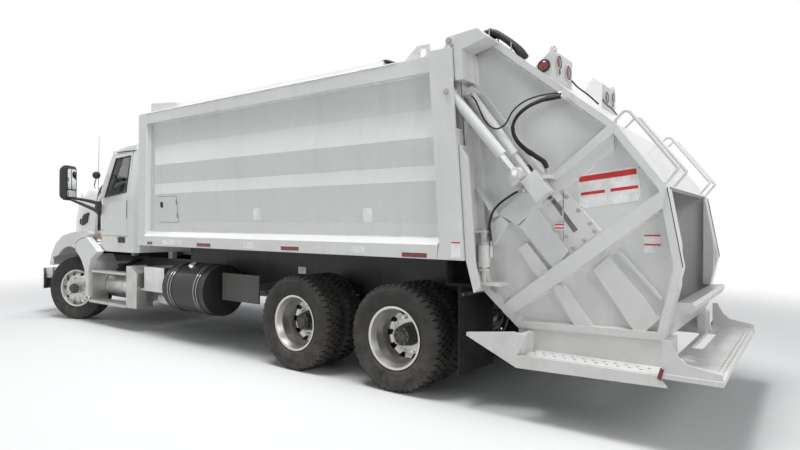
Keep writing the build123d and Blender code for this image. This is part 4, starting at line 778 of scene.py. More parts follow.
class TRUCK_OT_wheel_parts(bpy.types.Operator):
    """Nuts, studs, hub flanges and valve stems on every wheel"""

    bl_idname = "truck.wheel_parts"
    bl_label = "Wheel parts"

    def execute(self, context):
        size = context.scene.truck_sizes
        nut_height, stud_height, stud_radius = 0.026, 0.044, 0.0105
        for body, centre, out in wheel_places():
            if body.startswith("front"):
                face, valve, hub, steps = 0.0925, 0.085, front_hub, 40
                circle, count, lift, bolt_radius, bolt_height = 0.064, 6, 0.186, 0.009, 0.008
            else:
                face, valve, hub, steps = 0.0125, -0.030, rear_hub, 44
                circle, count, lift, bolt_radius, bolt_height = 0.073, 8, 0.159, 0.011, 0.014
            steel = []
            for spot in ring_spots(centre, out, size.stud_ring, 10, face):
                steel.append(hexagon(spot, out, size.nut_radius, nut_height))
                steel.append(round_bar(spot, spot + out * 0.004, size.nut_radius * 1.25, 16))
                steel.append(round_bar(spot + out * nut_height, spot + out * stud_height, stud_radius, 10))
            _, side, up = frame_along(out)
            foot = centre + up * 0.236 + side * 0.05 + out * valve
            stem = [foot - out * 0.02, foot, foot + out * 0.03 - up * 0.015, foot + out * 0.05 - up * 0.035]
            steel.append(pipe(smooth_line(stem, 4), 0.0045, 8))
            cast = [lathe(hub, centre, out, steps)]
            for spot in ring_spots(centre, out, circle, count, lift):
                cast.append(hexagon(spot, out, bolt_radius, bolt_height))
            piece(f"{body}_nuts", steel, body, "chrome", sharp=30)
            piece(f"{body}_hub", cast, body, "cast_iron", sharp=30)
        return {"FINISHED"}


# Hoses on the left side wall: name, diameter and the points that lead the route, as for at()
hose_routes = [
    ("hose_slide_a", 0.022, [
        (-1.5597, 1.058, 2.606), (-1.480, 1.058, 2.605), (-1.397, 1.058, 2.598), (-1.251, 1.058, 2.557),
        (-1.144, 1.058, 2.478), (-1.108, 1.058, 2.380), (-1.137, 1.058, 2.285), (-1.218, 1.058, 2.195),
        (-1.318, 1.058, 2.125), (-1.418, 1.058, 2.062), (-1.418, 1.058, 1.975),
    ]),
    ("hose_slide_b", 0.022, [
        (-1.5597, 1.082, 2.588), (-1.482, 1.082, 2.587), (-1.401, 1.082, 2.580), (-1.263, 1.082, 2.541),
        (-1.161, 1.082, 2.467), (-1.127, 1.082, 2.383), (-1.155, 1.082, 2.296), (-1.231, 1.082, 2.211),
        (-1.329, 1.082, 2.142), (-1.441, 1.082, 2.073), (-1.441, 1.082, 1.975),
    ]),
    ("hose_port", 0.013, [
        (-0.7423, 1.124, 2.7032), (-0.795, 1.124, 2.662), (-0.836, 1.124, 2.568), (-0.885, 1.124, 2.465),
        (-0.941, 1.122, 2.400), (-1.000, 1.118, 2.375), (-1.056, 1.112, 2.392), (-1.096, 1.108, 2.434),
        (-1.124, 1.108, 2.498), (-1.195, 1.108, 2.563), (-1.300, 1.108, 2.604), (-1.430, 1.108, 2.618),
        (-1.5597, 1.108, 2.615),
    ]),
    ("hose_lock", 0.019, [
        (-1.2217, 1.060, 1.852), (-1.168, 1.060, 1.852), (-1.090, 1.060, 1.806), (-1.010, 1.060, 1.757),
        (-0.948, 1.060, 1.697), (-0.915, 1.060, 1.616), (-0.905, 1.060, 1.532), (-0.928, 1.060, 1.452),
        (-0.928, 1.060, 1.385),
    ]),
]


class TRUCK_OT_hoses(bpy.types.Operator):
    """Hydraulic hoses with their ferrules and boots"""

    bl_idname = "truck.hoses"
    bl_label = "Hoses"

    def execute(self, context):
        for name, width, route in hose_routes:
            points = stations(route)
            curve = spline_curve(name, points, 10)
            curve.bevel_depth = width / 2
            curve.bevel_resolution = 5
            curve.use_fill_caps = True
            curve.materials.append(finish["hose_rubber"])
            hose = bpy.data.objects.new(f"{name}_line", curve)
            context.scene.collection.objects.link(hose)
            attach(hose, "tailgate")
            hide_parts(name)
            line = smooth_line(points)
            total = line_length(line)
            ends = []
            for first, second in ((line[0], line[1]), (line[-1], line[-2])):
                ends.append(hexagon(first, second - first, width * 0.72, width * 0.7))
            for start in (width * 0.6, total - width * 2.3):
                ends.append(pipe(stretch_of(line, start, width * 1.7), width * 0.58, 20))
            extras = [piece(f"{name}_ferrules", ends, "tailgate", "worn_steel", sharp=30)]
            if name.startswith("hose_slide"):
                # start, length and width of each sleeve, the width as a share of the hose's
                marks = [(0.016, 0.135, 1.42), (total * 0.49, 0.030, 1.28), (total * 0.73, 0.055, 1.24)]
                marks.append((total - 0.12, 0.06, 1.18))
                boots = [pipe(stretch_of(line, a, run), width / 2 * wide, 20) for a, run, wide in marks]
                extras.append(piece(f"{name}_sleeves", boots, "tailgate", "hose_rubber", sharp=40))
        return {"FINISHED"}


# Tailgate: pressed plates and channels on its side wall, as outlines of station and height
sheet_y = 0.935
side_ribs = [
    [(-1.000, 0.870), (-1.460, 1.230), (-2.300, 1.850), (-2.280, 1.700), (-1.500, 1.100), (-1.050, 0.770)],
    [
        (-0.950, 1.660), (-1.200, 1.870), (-1.420, 1.960), (-1.930, 2.380), (-1.920, 2.150), (-1.530, 1.870),
        (-1.130, 1.570),
    ],
    [(-1.150, 1.560), (-1.460, 1.200), (-1.570, 1.360), (-1.290, 1.710)],
    [(-1.140, 1.370), (-1.220, 1.420), (-1.420, 1.180), (-1.330, 1.110)],
    [(-1.430, 1.080), (-1.530, 1.080), (-1.800, 0.730), (-1.660, 0.710)],
    [(-1.770, 1.220), (-1.890, 1.330), (-2.250, 0.880), (-2.110, 0.730)],
    [(-1.520, 1.860), (-1.820, 1.530), (-1.570, 1.330), (-1.500, 1.420)],
]
# edge of the side wall from the top of the seam, round the rear and back to its foot
wall_rim = [
    (-0.90, 3.10), (-1.90, 2.30), (-2.24, 1.845), (-2.350, 1.27), (-2.31, 1.07), (-2.245, 0.79),
    (-1.18, 0.762), (-0.90, 0.99),
]
# cover over the slide's slot: its face's distance from the centre line, and the places of its bolts
cover_y = 0.947
cover_bolts = [
    (-1.545, 1.800), (-1.640, 1.690), (-1.735, 1.585), (-1.770, 1.525), (-1.690, 1.455), (-1.600, 1.385),
    (-1.545, 1.480),
]
# outer faces of the body's lower rail and of the cab
rail_y = 1.250
cab_side_y = 1.050


def wall_y(z):
    """Distance of the body's lower side panel from the centre line at a height."""
    return 1.165 + max(0.0, z - 1.577) / 0.383 * 0.039


def on_wall(x0, x1, z0, z1, lift, thick):
    """Thin plate on the body's lower side panel, lifted off it by its normal."""
    loop = [at(x, wall_y(z), z) for x, z in ((x0, z0), (x0, z1), (x1, z1), (x1, z0))]
    out = (loop[1] - loop[0]).cross(loop[3] - loop[0]).normalized()
    if out.y < 0:
        out = -out
    return [p + out * rise for rise in (lift, lift + thick) for p in loop], closed_faces(4)


class TRUCK_OT_lamps(bpy.types.Operator):
    """Lenses, gaskets, reflectors and marker lamps"""

    bl_idname = "truck.lamps"
    bl_label = "Lamps"

    def execute(self, context):
        red, dark = [], []
        # rear-facing lamps on each lamp box: distance from the centre line, height, radius
        lamp_face_x = -1.4164
        for y, z, r in ((0.800, 2.944, 0.056), (0.796, 2.867, 0.026), (0.575, 2.905, 0.061)):
            spot = at(lamp_face_x, y, z)
            red.append(round_lens(spot, backward, r * 0.93, 0.013))
            dark.append(ring(spot, backward, r, r * 0.93, 0.009))
        side = at(-1.340, 0.9303, 2.900)
        red.append(round_lens(side + leftward * 0.006, leftward, 0.042, 0.014))
        dark.append(ring(side, leftward, 0.054, 0.042, 0.013))
        foot = at(-1.392, 0.862, 3.028)
        base = lathe([(0, 0), (0.030, 0), (0.030, 0.026), (0.024, 0.030), (0, 0.030)], foot, upward, 24)
        dome = round_lens(foot + upward * 0.029, upward, 0.022, 0.016)
        # reflector at the end of each side step and strip down the rear edge of each wall
        step_end = [(-2.342, 0.575), (-2.318, 0.590), (-2.296, 0.515), (-2.320, 0.497)]
        red.append(plate(step_end, 1.2402, 1.2445))
        wall_edge = [(-2.3035, 1.846), (-2.3075, 1.848), (-2.4165, 1.270), (-2.4125, 1.268)]
        dark.append(plate(wall_edge, 0.9900, 1.0005))
        piece("gate_lenses", both(red), "tailgate", "red_lens", sharp=30)
        piece("gate_lamp_gaskets", both(dark), "tailgate", "dark_gasket", sharp=30)
        piece("gate_beacon_base", both([base]), "tailgate", "gate_white", sharp=30)
        piece("gate_beacon", both([dome]), "tailgate", "green_lens", sharp=30)
        # reflectors along the lower rail: front and rear station, low and high edge
        strips, edges = [], []
        border = 0.004
        for x0, x1, z0, z1 in (
            (4.147, 4.022, 1.278, 1.318), (3.023, 2.745, 1.279, 1.323), (1.497, 1.221, 1.283, 1.325),
            (-0.120, -0.393, 1.272, 1.313),
        ):
            strips.append(upright(x0, x1, z0, z1, rail_y + 0.0002, rail_y + 0.0045))
            x0, x1, z0, z1 = x0 + border, x1 - border, z0 - border, z1 + border
            edges.append(upright(x0, x1, z0, z1, rail_y + 0.0001, rail_y + 0.0020))
        piece("rail_reflectors", both(strips), "truck", "red_lens", bevel=0.0008)
        piece("rail_reflector_edges", both(edges), "truck", "sign_white")
        amber = [(5.792, 1.330), (5.812, 1.380), (5.828, 1.378), (5.826, 1.312), (5.806, 1.302)]
        amber = plate(amber, cab_side_y + 0.0002, cab_side_y + 0.0140)
        piece("cab_marker", both([amber]), "truck", "amber_lens", bevel=0.003)
        fender = plate([(7.085, 0.905), (7.130, 1.000), (7.158, 0.992), (7.118, 0.880)], 1.1702, 1.1820)
        piece("fender_marker", both([fender]), "hood", "red_lens", bevel=0.003)
        # headlamp on the front slope of each fender, with its bezel
        slope = plate([(7.2560, 1.010), (7.3160, 0.862), (7.3240, 0.868), (7.2660, 1.016)], 0.790, 1.100)
        rim = plate([(7.2520, 1.020), (7.3180, 0.854), (7.3210, 0.857), (7.2560, 1.023)], 0.775, 1.115)
        piece("headlamps", both([slope]), "hood", "clear_lens", bevel=0.004)
        piece("headlamp_bezels", both([rim]), "hood", "chrome", bevel=0.002)
        return {"FINISHED"}


class TRUCK_OT_signs(bpy.types.Operator):
    """Blank warning plate and labels, with plain bars only"""

    bl_idname = "truck.signs"
    bl_label = "Signs"

    def execute(self, context):
        # warning plate on the tailgate's left side, with three bars
        y = sheet_y + 0.0006
        face = [plate([(-1.626, 1.972), (-2.090, 2.020), (-2.118, 1.762), (-1.652, 1.700)], y, y + 0.002)]
        bars = []
        for outline in (
            [(-1.640, 1.958), (-2.078, 2.004), (-2.083, 1.960), (-1.645, 1.914)],
            [(-1.656, 1.830), (-1.846, 1.850), (-1.848, 1.826), (-1.658, 1.806)],
            [(-1.888, 1.855), (-2.092, 1.877), (-2.094, 1.853), (-1.890, 1.831)],
        ):
            bars.append(plate(outline, y, y + 0.003))
        corners = ((-1.640, 1.968), (-2.098, 2.008), (-1.664, 1.712), (-2.106, 1.774))
        rivets = [round_lens(at(x, y + 0.002, z), leftward, 0.006, 0.004) for x, z in corners]
        # two small labels, each with a bar at its top and one across its middle
        past, half_bar = 0.004, 0.006
        cover_label = (-1.4475, -1.5325, 1.526, 1.586, cover_y + 0.0005)
        for x0, x1, z0, z1, wall in (cover_label, (-2.134, -2.258, 1.366, 1.508, y)):
            face.append(upright(x0, x1, z0, z1, wall, wall + 0.0015))
            for z in (z1 - 0.012, (z0 + z1) / 2 - 0.010):
                bars.append(upright(x0 - past, x1 + past, z + half_bar, z - half_bar, wall, wall + 0.0022))
        piece("gate_plates", face, "tailgate", "sign_white", bevel=0.0004)
        piece("gate_plate_bars", bars, "tailgate", "sign_red")
        piece("gate_plate_rivets", rivets, "tailgate", "worn_steel")
        # labels on the body's lower panel and on its rail: front and rear station, low and high edge
        labels = []
        for x0, x1, z0, z1 in ((0.405, 0.294, 1.585, 1.724), (2.044, 1.915, 1.605, 1.743)):
            labels.append(on_wall(x0, x1, z0, z1, 0.0005, 0.0012))
        label_y = rail_y + 0.0004
        for x0, x1, z0, z1 in (
            (3.779, 3.360, 1.289, 1.354), (2.123, 1.948, 1.284, 1.363), (0.489, 0.330, 1.291, 1.353),
            (-0.641, -0.735, 1.285, 1.425),
        ):
            labels.append(upright(x0, x1, z0, z1, label_y, label_y + 0.0012))
        bar = upright(-0.645, -0.731, 1.408, 1.420, label_y, label_y + 0.0020)
        piece("body_labels", labels, "truck", "sign_white")
        piece("body_label_bar", [bar], "truck", "sign_red")
        piece("frame_label", [upright(2.079, 1.945, 0.945, 1.030, 0.4310, 0.4330)], "truck", "sign_white")
        return {"FINISHED"}


class TRUCK_OT_gate_details(bpy.types.Operator):
    """Bolts, weld beads and conduit of the tailgate"""

    bl_idname = "truck.gate_details"
    bl_label = "Tailgate details"

    def execute(self, context):
        size = context.scene.truck_sizes
        beads = []
        for outline in side_ribs:
            loop = [at(x, sheet_y, z) for x, z in outline + outline[:1]]
            beads += [pipe([a, a.lerp(b, 0.5), b], size.weld_radius, 6) for a, b in zip(loop, loop[1:])]
        beads += bars_along([at(x, sheet_y, z) for x, z in wall_rim], size.weld_radius, 6)
        piece("gate_welds", both(beads), "tailgate", "weld_white", "gate_paint", sharp=60)
        # cover over the slot: bolts round its edge
        steel = []
        for x, z in cover_bolts:
            foot = at(x, cover_y, z)
            steel.append(hexagon(foot, leftward, 0.013, 0.009))
            steel.append(round_bar(foot, foot + leftward * 0.0025, 0.017, 16))
        # pin ends of the slide cylinders and of the hinge, lock gear bolts and lock cylinder collars
        steel.append(pin_cap(at(-0.735, 1.111, 2.690), 0.026, 1.3, 0.005))
        steel.append(pin_cap(at(-0.590, 1.228, 3.170), 0.024, 1.3, 0.005))
        for x in (-0.842, -0.800):
            for y in (0.965, 1.070):
                steel.append(hexagon(at(x, y, 1.520), upward, 0.012, 0.009))
        for z in (1.190, 1.395):
            steel.append(ring(at(-0.862, 1.060, z), upward, 0.0535, 0.0495, 0.014))
        # joint down the cover's front, which stops short of the slot in which the shoe's stem runs
        low_seam = upright(-1.519, -1.523, 1.440, 1.607, cover_y - 0.0010, cover_y + 0.0006)
        high_seam = upright(-1.519, -1.523, 1.699, 1.840, cover_y - 0.0010, cover_y + 0.0006)
        piece("gate_bolts", both(steel), "tailgate", "worn_steel", sharp=30)
        piece("leaf_seam", both([low_seam, high_seam]), "tailgate", "dark_gasket")
        # plates that close the front frame beside the lift cylinders
        closer = [(-0.6935, 2.245), (-0.7055, 2.245), (-0.6590, 2.860), (-0.6470, 2.860)]
        closer = plate(closer, 0.9990, 1.1120)
        piece("seam_closers", both([closer]), "tailgate", "gate_white", bevel=0.001)
        # ribbed conduit over the top of the seam, held by two straps
        route = [
            (-0.760, 3.245), (-0.820, 3.272), (-0.890, 3.264), (-0.970, 3.205), (-1.050, 3.136),
            (-1.115, 3.070), (-1.150, 3.010),
        ]
        tubes = [corrugated([at(x, y, z) for x, z in route], 0.030, 0.026) for y in (0.850, 0.905, 0.960)]
        hoop = [(0.815, -0.010), (0.818, 0.060), (0.905, 0.072), (0.992, 0.060), (0.995, -0.010)]
        straps = []
        for x, z in ((-0.862, 3.230), (-1.070, 3.068)):
            straps.append(pipe([at(x, y, z + rise) for y, rise in hoop], 0.006, 8))
        piece("gate_conduit", tubes, "tailgate", "hose_rubber", sharp=50)
        piece("gate_conduit_straps", straps, "tailgate", "worn_steel")
        # wires across the slope to the lamp boxes
        wire = [(-1.412, 0.47, 2.865), (-1.455, 0.44, 2.800), (-1.530, 0.38, 2.745), (-1.600, 0.30, 2.660)]
        wires = [pipe(smooth_line([at(x, y * s, z) for x, y, z in wire]), 0.007, 10) for s in (1, -1)]
        piece("lamp_wires", wires, "tailgate", "hose_rubber")
        return {"FINISHED"}


def grip_holes(places, z, radius):
    """Raised collars round flat dark discs: the discs are painted shade in place of the openings of a
    perforated tread.
    """
    hole_shade = [(0, 0.0008), (radius, 0.0008), (radius, 0.0)]
    collars = [ring(at(x, y, z), upward, radius * 1.35, radius, 0.003) for x, y in places]
    # flat dark disc in each hole: painted shade in place of the opening
    hole_shades = [lathe(hole_shade, at(x, y, z), upward, 16) for x, y in places]
    return collars, hole_shades


class TRUCK_OT_treads(bpy.types.Operator):
    """Perforated treads on the platform, side steps and cab steps"""

    bl_idname = "truck.treads"
    bl_label = "Treads"

    def execute(self, context):
        side_step_top, platform_top = 0.5352, 0.5482
        side = []
        for i in range(12):
            back = -0.080 * i
            side += [(-1.330 + back, 1.075), (-1.290 + back, 1.150)]
        collars, hole_shades = grip_holes(side, side_step_top, 0.0105)
        strip = block((-2.696, -1.205, platform_top), (-2.610, 1.205, platform_top + 0.0038))
        rear = [(x, -1.14 + 0.060 * i) for i in range(39) for x in (-2.670, -2.636)]
        rear_collars, rear_hole_shades = grip_holes(rear, platform_top + 0.0040, 0.0065)
        made = both(collars) + rear_collars + [strip]
        piece("tread_collars", made, "tailgate", "gate_white", sharp=40)
        # flat dark discs in the holes: painted shade in place of openings
        piece("tread_hole_shades", both(hole_shades) + rear_hole_shades, "tailgate", "dark_gasket")
        # cab steps: height of the tread, rear and front station, inner and outer edge
        studs = []
        for top, x0, x1, y0, y1 in ((0.8352, 4.88, 5.87, 1.02, 1.15), (0.3752, 4.88, 5.95, 0.95, 1.15)):
            for i in range(int((x1 - x0) / 0.05)):
                for j in range(int((y1 - y0) / 0.04)):
                    spot = at(x0 + 0.03 + 0.05 * i, y0 + 0.03 + 0.035 * j, top)
                    studs.append(ring(spot, upward, 0.011, 0.007, 0.004))
        piece("step_grip", both(studs), "truck", "tread_alloy", sharp=40)
        return {"FINISHED"}


class TRUCK_OT_body_details(bpy.types.Operator):
    """Weld beads, access door and roof lines of the refuse body"""

    bl_idname = "truck.body_details"
    bl_label = "Body details"

    def execute(self, context):
        size = context.scene.truck_sizes
        beads = []
        for x0, x1, y, z in (
            (-0.45, 4.05, 1.165, 1.4555), (-0.44, 4.05, 1.150, 2.9295), (-0.02, 4.24, 1.220, 3.0705),
        ):
            line = stations([(x0, y, z), ((x0 + x1) / 2, y, z), (x1, y, z)])
            beads.append(pipe(line, size.weld_radius, 6))
        beads.append(pipe(stations([(4.2395, 1.165, 1.458), (4.2395, 1.165, 2.930)]), size.weld_radius, 6))
        piece("body_welds", both(beads), "truck", "weld_white", "body_paint", sharp=60)
        # access door in the lower panel, with its dark gap, latch and hinges
        gap = on_wall(3.995, 3.545, 1.578, 1.925, 0.0004, 0.0008)
        door = on_wall(3.990, 3.550, 1.583, 1.920, 0.0006, 0.0040)
        cup = on_wall(3.925, 3.868, 1.775, 1.850, 0.0045, 0.006)
        handle = on_wall(3.905, 3.888, 1.790, 1.835, 0.0100, 0.014)
        piece("access_gap", [gap], "truck", "dark_gasket")
        piece("access_door", [door], "truck", "body_white", bevel=0.0012)
        piece("access_latch", [cup, handle], "truck", "black_plastic", bevel=0.002)
        hinges = []
        for low, high in ((1.630, 1.700), (1.810, 1.880)):
            foot, head = (at(3.553, wall_y(z) + 0.009, z) for z in (low, high))
            hinges.append(round_bar(foot, head, 0.007, 14))
        piece("access_hinges", hinges, "truck", "worn_steel")
        # lines from the roof cover to the rear frame
        lines = []
        for y, rise in ((0.985, 0.0), (1.025, 0.006), (1.060, 0.0)):
            route = [(0.300, y, 3.150), (0.245, y, 3.172 + rise), (0.180, y, 3.150), (0.105, y, 3.112)]
            route += [(0.020, y, 3.100 + rise), (-0.060, y, 3.096)]
            lines.append(corrugated(stations(route), 0.019))
        piece("roof_lines", lines, "truck", "hose_rubber", sharp=50)
        return {"FINISHED"}


class TRUCK_OT_lift_details(bpy.types.Operator):
    """Pin ends and painted rod eyes of the lift cylinders, and the mud flaps' clamps"""

    bl_idname = "truck.lift_details"
    bl_label = "Lift details"

    def execute(self, context):
        cap = pin_cap(at(-0.587, 1.2621, 2.721), 0.020, 1.4, 0.004)
        piece("lift_pin_caps", both([cap]), "truck", "worn_steel")
        wide, bore, deep = 0.0448, 0.0245, 0.071
        eye = [(bore, deep), (wide - 0.0008, deep), (wide, deep - 0.002), (wide, 0.0)]
        eye += [(wide - 0.0023, 0.0), (wide - 0.0023, deep - 0.0025), (bore, deep - 0.0025)]
        eye = lathe(eye, at(-1.215, 1.1430, 1.990), leftward, 36, closed=True)
        for side, shape in (("left", eye), ("right", mirrored(eye))):
            piece(f"lift_eye_{side}", [shape], f"lift_rod_{side}", "gate_white", sharp=30)
        # clamp bars and bolts of the mud flaps
        bar = block((-0.7255, 0.640, 0.945), (-0.7200, 1.225, 0.985))
        across = (0.70, 0.82, 0.94, 1.06, 1.18)
        bolts = [hexagon(at(-0.7205, y, 0.965), backward, 0.011, 0.008) for y in across]
        piece("flap_bars", both([bar]), "truck", "frame_black", bevel=0.001)
        piece("flap_bolts", both(bolts), "truck", "worn_steel")
        return {"FINISHED"}


# Cab: outline of the door's window
window_line = [(5.090, 2.030), (5.705, 1.965), (5.500, 2.550), (5.090, 2.570)]
# bonnet skin and roof cap: station, half width, height of the crown, height of the lower edge
bonnet_sections = [
    (6.130, 0.992, 2.335, 1.300), (6.350, 0.988, 2.320, 1.300), (6.600, 0.972, 2.275, 1.290),
    (6.850, 0.925, 2.180, 1.240), (7.050, 0.868, 2.050, 1.080), (7.200, 0.805, 1.915, 0.960),
    (7.320, 0.728, 1.780, 0.920), (7.420, 0.656, 1.640, 0.920), (7.490, 0.505, 1.520, 0.920),
]
roof_sections = [
    (4.815, 0.925, 2.780, 2.640), (4.860, 0.950, 2.850, 2.640), (5.000, 0.972, 2.890, 2.645),
    (5.250, 0.975, 2.905, 2.650), (5.430, 0.970, 2.880, 2.650), (5.560, 0.955, 2.820, 2.655),
    (5.630, 0.930, 2.750, 2.665), (5.655, 0.900, 2.705, 2.675),
]
# louvred panels in the bonnet's side
louvre_panels = [
    [
        (6.330, 1.732), (6.430, 1.722), (6.560, 1.675), (6.600, 1.612), (6.632, 1.522), (6.510, 1.532),
        (6.388, 1.572),
    ],
    [(6.675, 1.636), (6.725, 1.590), (6.700, 1.545), (6.668, 1.588)],
]
# bars of a door mirror's arm, from the cowl to the head
mirror_arms = [
    [(5.845, 1.080, 1.870), (6.050, 1.170, 1.925), (6.215, 1.290, 1.950)],
    [(5.845, 1.080, 1.745), (6.000, 1.190, 1.830), (6.150, 1.350, 1.925)],
]


def cab_y(z):
    """Distance of the cab's side from the centre line at a height."""
    return cab_side_y - max(0.0, z - 1.960) / 0.720 * 0.085


def hood_y(x):
    """Distance of the bonnet's side from the centre line at a station."""
    for (x0, wide0, _, _), (x1, wide1, _, _) in zip(bonnet_sections, bonnet_sections[1:]):
        if x0 <= x <= x1:
            return wide0 + (wide1 - wide0) * (x - x0) / (x1 - x0)
    raise ValueError("station off the bonnet")


class TRUCK_OT_cab_details(bpy.types.Operator):
    """Window rubbers, door handles and strips, and wipers"""

    bl_idname = "truck.cab_details"
    bl_label = "Cab details"

    def execute(self, context):
        # rubber round the door windows
        frame_line = [at(x, cab_y(z) + 0.001, z) for x, z in window_line + window_line[:1]]
        rubber = bars_along(frame_line, 0.010, 10)
        for x, z in window_line:
            rubber.append(round_bar(at(x, cab_y(z) - 0.009, z), at(x, cab_y(z) + 0.011, z), 0.010, 12))
        right_rubber = [mirrored(shape) for shape in rubber]
        for side, made in (("left", rubber), ("right", right_rubber)):
            piece(f"window_rubber_{side}", made, f"door_{side}", "dark_gasket", sharp=40)
        # door handle: plate, bowed grip and lower lip
        grip = [(5.285, 1.052, 1.338), (5.275, 1.078, 1.338), (5.200, 1.082, 1.336), (5.135, 1.078, 1.334)]
        grip.append((5.125, 1.052, 1.334))
        handle = [block((5.100, cab_side_y + 0.0002, 1.268), (5.308, cab_side_y + 0.0030, 1.356))]
        handle.append(pipe(smooth_line(stations(grip)), 0.010, 12))
        handle.append(block((5.120, cab_side_y + 0.0030, 1.284), (5.290, cab_side_y + 0.0100, 1.306)))
        piece("door_handles", both(handle), "truck", "black_plastic", bevel=0.003)
        # upright strip near each door's rear edge
        strip = block((5.052, cab_side_y + 0.0002, 1.640), (5.060, cab_side_y + 0.0060, 1.900))
        for side, made in (("left", strip), ("right", mirrored(strip))):
            piece(f"door_strip_{side}", [made], f"door_{side}", "dark_gasket", bevel=0.002)
        # wipers on the windscreen: bowed arm and blade
        wipers = []
        for y in (0.10, 0.72):
            foot, tip = at(5.985, y, 1.960), at(5.845, y - 0.50, 2.110)
            middle = foot.lerp(tip, 0.5) + Vector((0.030, 0, 0.010))
            wipers.append(pipe([foot + Vector((0.020, 0, 0)), middle, tip + Vector((0.018, 0, 0))], 0.006, 8))
            wipers.append(pipe([at(5.905, y + 0.02, 2.030), at(5.812, y - 0.62, 2.220)], 0.008, 8))
        piece("wipers", wipers, "truck", "black_plastic")
        return {"FINISHED"}


class TRUCK_OT_bonnet_details(bpy.types.Operator):
    """Louvres, small mirror and aerial of the bonnet"""

    bl_idname = "truck.bonnet_details"
    bl_label = "Bonnet details"

    def execute(self, context):
        # louvres let into the bonnet's side
        meshes, slats = [], []
        for outline in louvre_panels:
            corners = [at(x, hood_y(x) + lift, z) for lift in (-0.006, 0.012) for x, z in outline]
            meshes.append((corners, closed_faces(len(outline))))
        for i in range(6):
            low = 1.560 + 0.027 * i
            rear, front = 6.375 if i < 4 else 6.345, 6.615 - 0.012 * i
            ends = [at(x, hood_y(x) + 0.014, z) for x, z in ((rear, low + 0.016), (front, low))]
            slats.append(pipe(ends, 0.005, 8))
        piece("hood_louvre", both(meshes), "hood", "dark_gasket")
        piece("hood_louvre_bars", both(slats), "hood", "black_plastic")
        # bonnet mirror and aerial, left side only
        stalk = [(6.300, 0.880, 2.080), (6.300, 0.935, 2.150), (6.230, 0.945, 2.240), (6.195, 0.945, 2.300)]
        stalk = pipe(smooth_line(stations(stalk)), 0.008, 10)
        bowl = [(0, -0.012), (0.040, -0.012), (0.058, 0.0), (0.060, 0.014), (0.050, 0.030), (0.0, 0.040)]
        bowl = lathe(bowl, at(6.190, 0.945, 2.335), (0.85, -0.25, 0.1), 28)
        piece("bonnet_mirror", [stalk, bowl], "hood", "black_plastic", sharp=50)
        mast = stations([(6.160, 0.930, 2.060), (6.155, 0.930, 2.400), (6.145, 0.930, 2.980)])
        socket = round_bar(at(6.160, 0.930, 2.030), at(6.160, 0.930, 2.100), 0.012, 14)
        aerial = [pipe(mast, [0.006, 0.004, 0.002], 8), socket]
        piece("aerial", aerial, "hood", "black_plastic")
        return {"FINISHED"}


class TRUCK_OT_door_mirrors(bpy.types.Operator):
    """Rounded heads turned towards the driver, on two-bar arms from the cowl"""

    bl_idname = "truck.door_mirrors"
    bl_label = "Door mirrors"

    def execute(self, context):
        centre = at(6.150, 1.350, 2.180)
        wide = (at(6.060, 1.480, 0) - at(6.240, 1.220, 0)).normalized()
        axes = (wide, upward, Vector((wide.y, -wide.x, 0)))
        loops = [(0.130, 0.245, 0.045, -0.010), (0.150, 0.268, 0.060, 0.006), (0.152, 0.270, 0.062, 0.050)]
        loops += [(0.128, 0.240, 0.060, 0.105), (0.080, 0.180, 0.050, 0.128)]
        base = [(5.806, 1.690), (5.800, 1.895), (5.880, 1.905), (5.905, 1.740)]
        made = [shell_of(centre, axes, loops), plate(base, cab_side_y + 0.0003, 1.112)]
        for arm in mirror_arms:
            line = smooth_line(stations(arm))
            made.append(pipe(line, [0.030 - 0.010 * i / len(line) for i in range(len(line))], 12))
        made = both(made)
        piece("door_mirrors", made, "truck", "black_plastic", sharp=40, bevel=0.002, replaces=("mirrors",))
        large = [(0.108, 0.155, 0.030, lift) for lift in (-0.013, -0.008)]
        large = shell_of(centre + upward * 0.060, axes, large)
        small = [(0.100, 0.050, 0.030, -0.015), (0.104, 0.054, 0.030, -0.008)]
        small = shell_of(centre - upward * 0.165, axes, small)
        piece("mirror_glass", both([large, small]), "truck", "mirror_face", sharp=30)
        return {"FINISHED"}


class TRUCK_OT_cab_skins(bpy.types.Operator):
    """Rounded bonnet skin and roof cap over the plain forms"""

    bl_idname = "truck.cab_skins"
    bl_label = "Cab skins"

    def execute(self, context):
        bonnet = arched_skin(bonnet_sections, 5.2, 0.006, 60)
        roof = arched_skin(roof_sections, 3.4, 0.006)
        piece("bonnet_skin", [bonnet], "hood", "cab_white", sharp=50)
        piece("roof_cap", [roof], "truck", "cab_white", sharp=50)
        gutter = bars_along([at(x, half + 0.002, low) for x, half, _, low in roof_sections], 0.006, 8)
        piece("roof_gutter", both(gutter), "truck", "dark_gasket")
        return {"FINISHED"}


class TRUCK_OT_tank_trim(bpy.types.Operator):
    """Straps and caps of the tanks, and the pipes behind the cab"""

    bl_idname = "truck.tank_trim"
    bl_label = "Tank trim"

    def execute(self, context):
        trim = []
        for x in (3.126, 3.186, 3.696, 3.756):
            trim.append(ring(at(x, 0.850, 0.700), (1, 0, 0), 0.3405, 0.3370, 0.008))
        cap = [(0, 0), (0.055, 0), (0.055, 0.030), (0.045, 0.040), (0.0, 0.042)]
        trim.append(lathe(cap, at(3.480, 0.990, 1.000), (0, 0.42, 0.91), 28))
        piece("tank_trim", both(trim), "truck", "chrome", sharp=30)
        pipes = []
        for x, drop in ((5.60, 0.0), (5.54, 0.03), (5.48, 0.0)):
            route = [(x, 0.560, 0.985), (x - 0.02, 0.700, 0.940 - drop), (x - 0.05, 0.860, 0.885 - drop)]
            route.append((x - 0.10, 0.960, 0.840))
            pipes.append(pipe(smooth_line(stations(route)), 0.016, 12))
        piece("side_pipes", both(pipes), "truck", "hose_rubber")
        return {"FINISHED"}


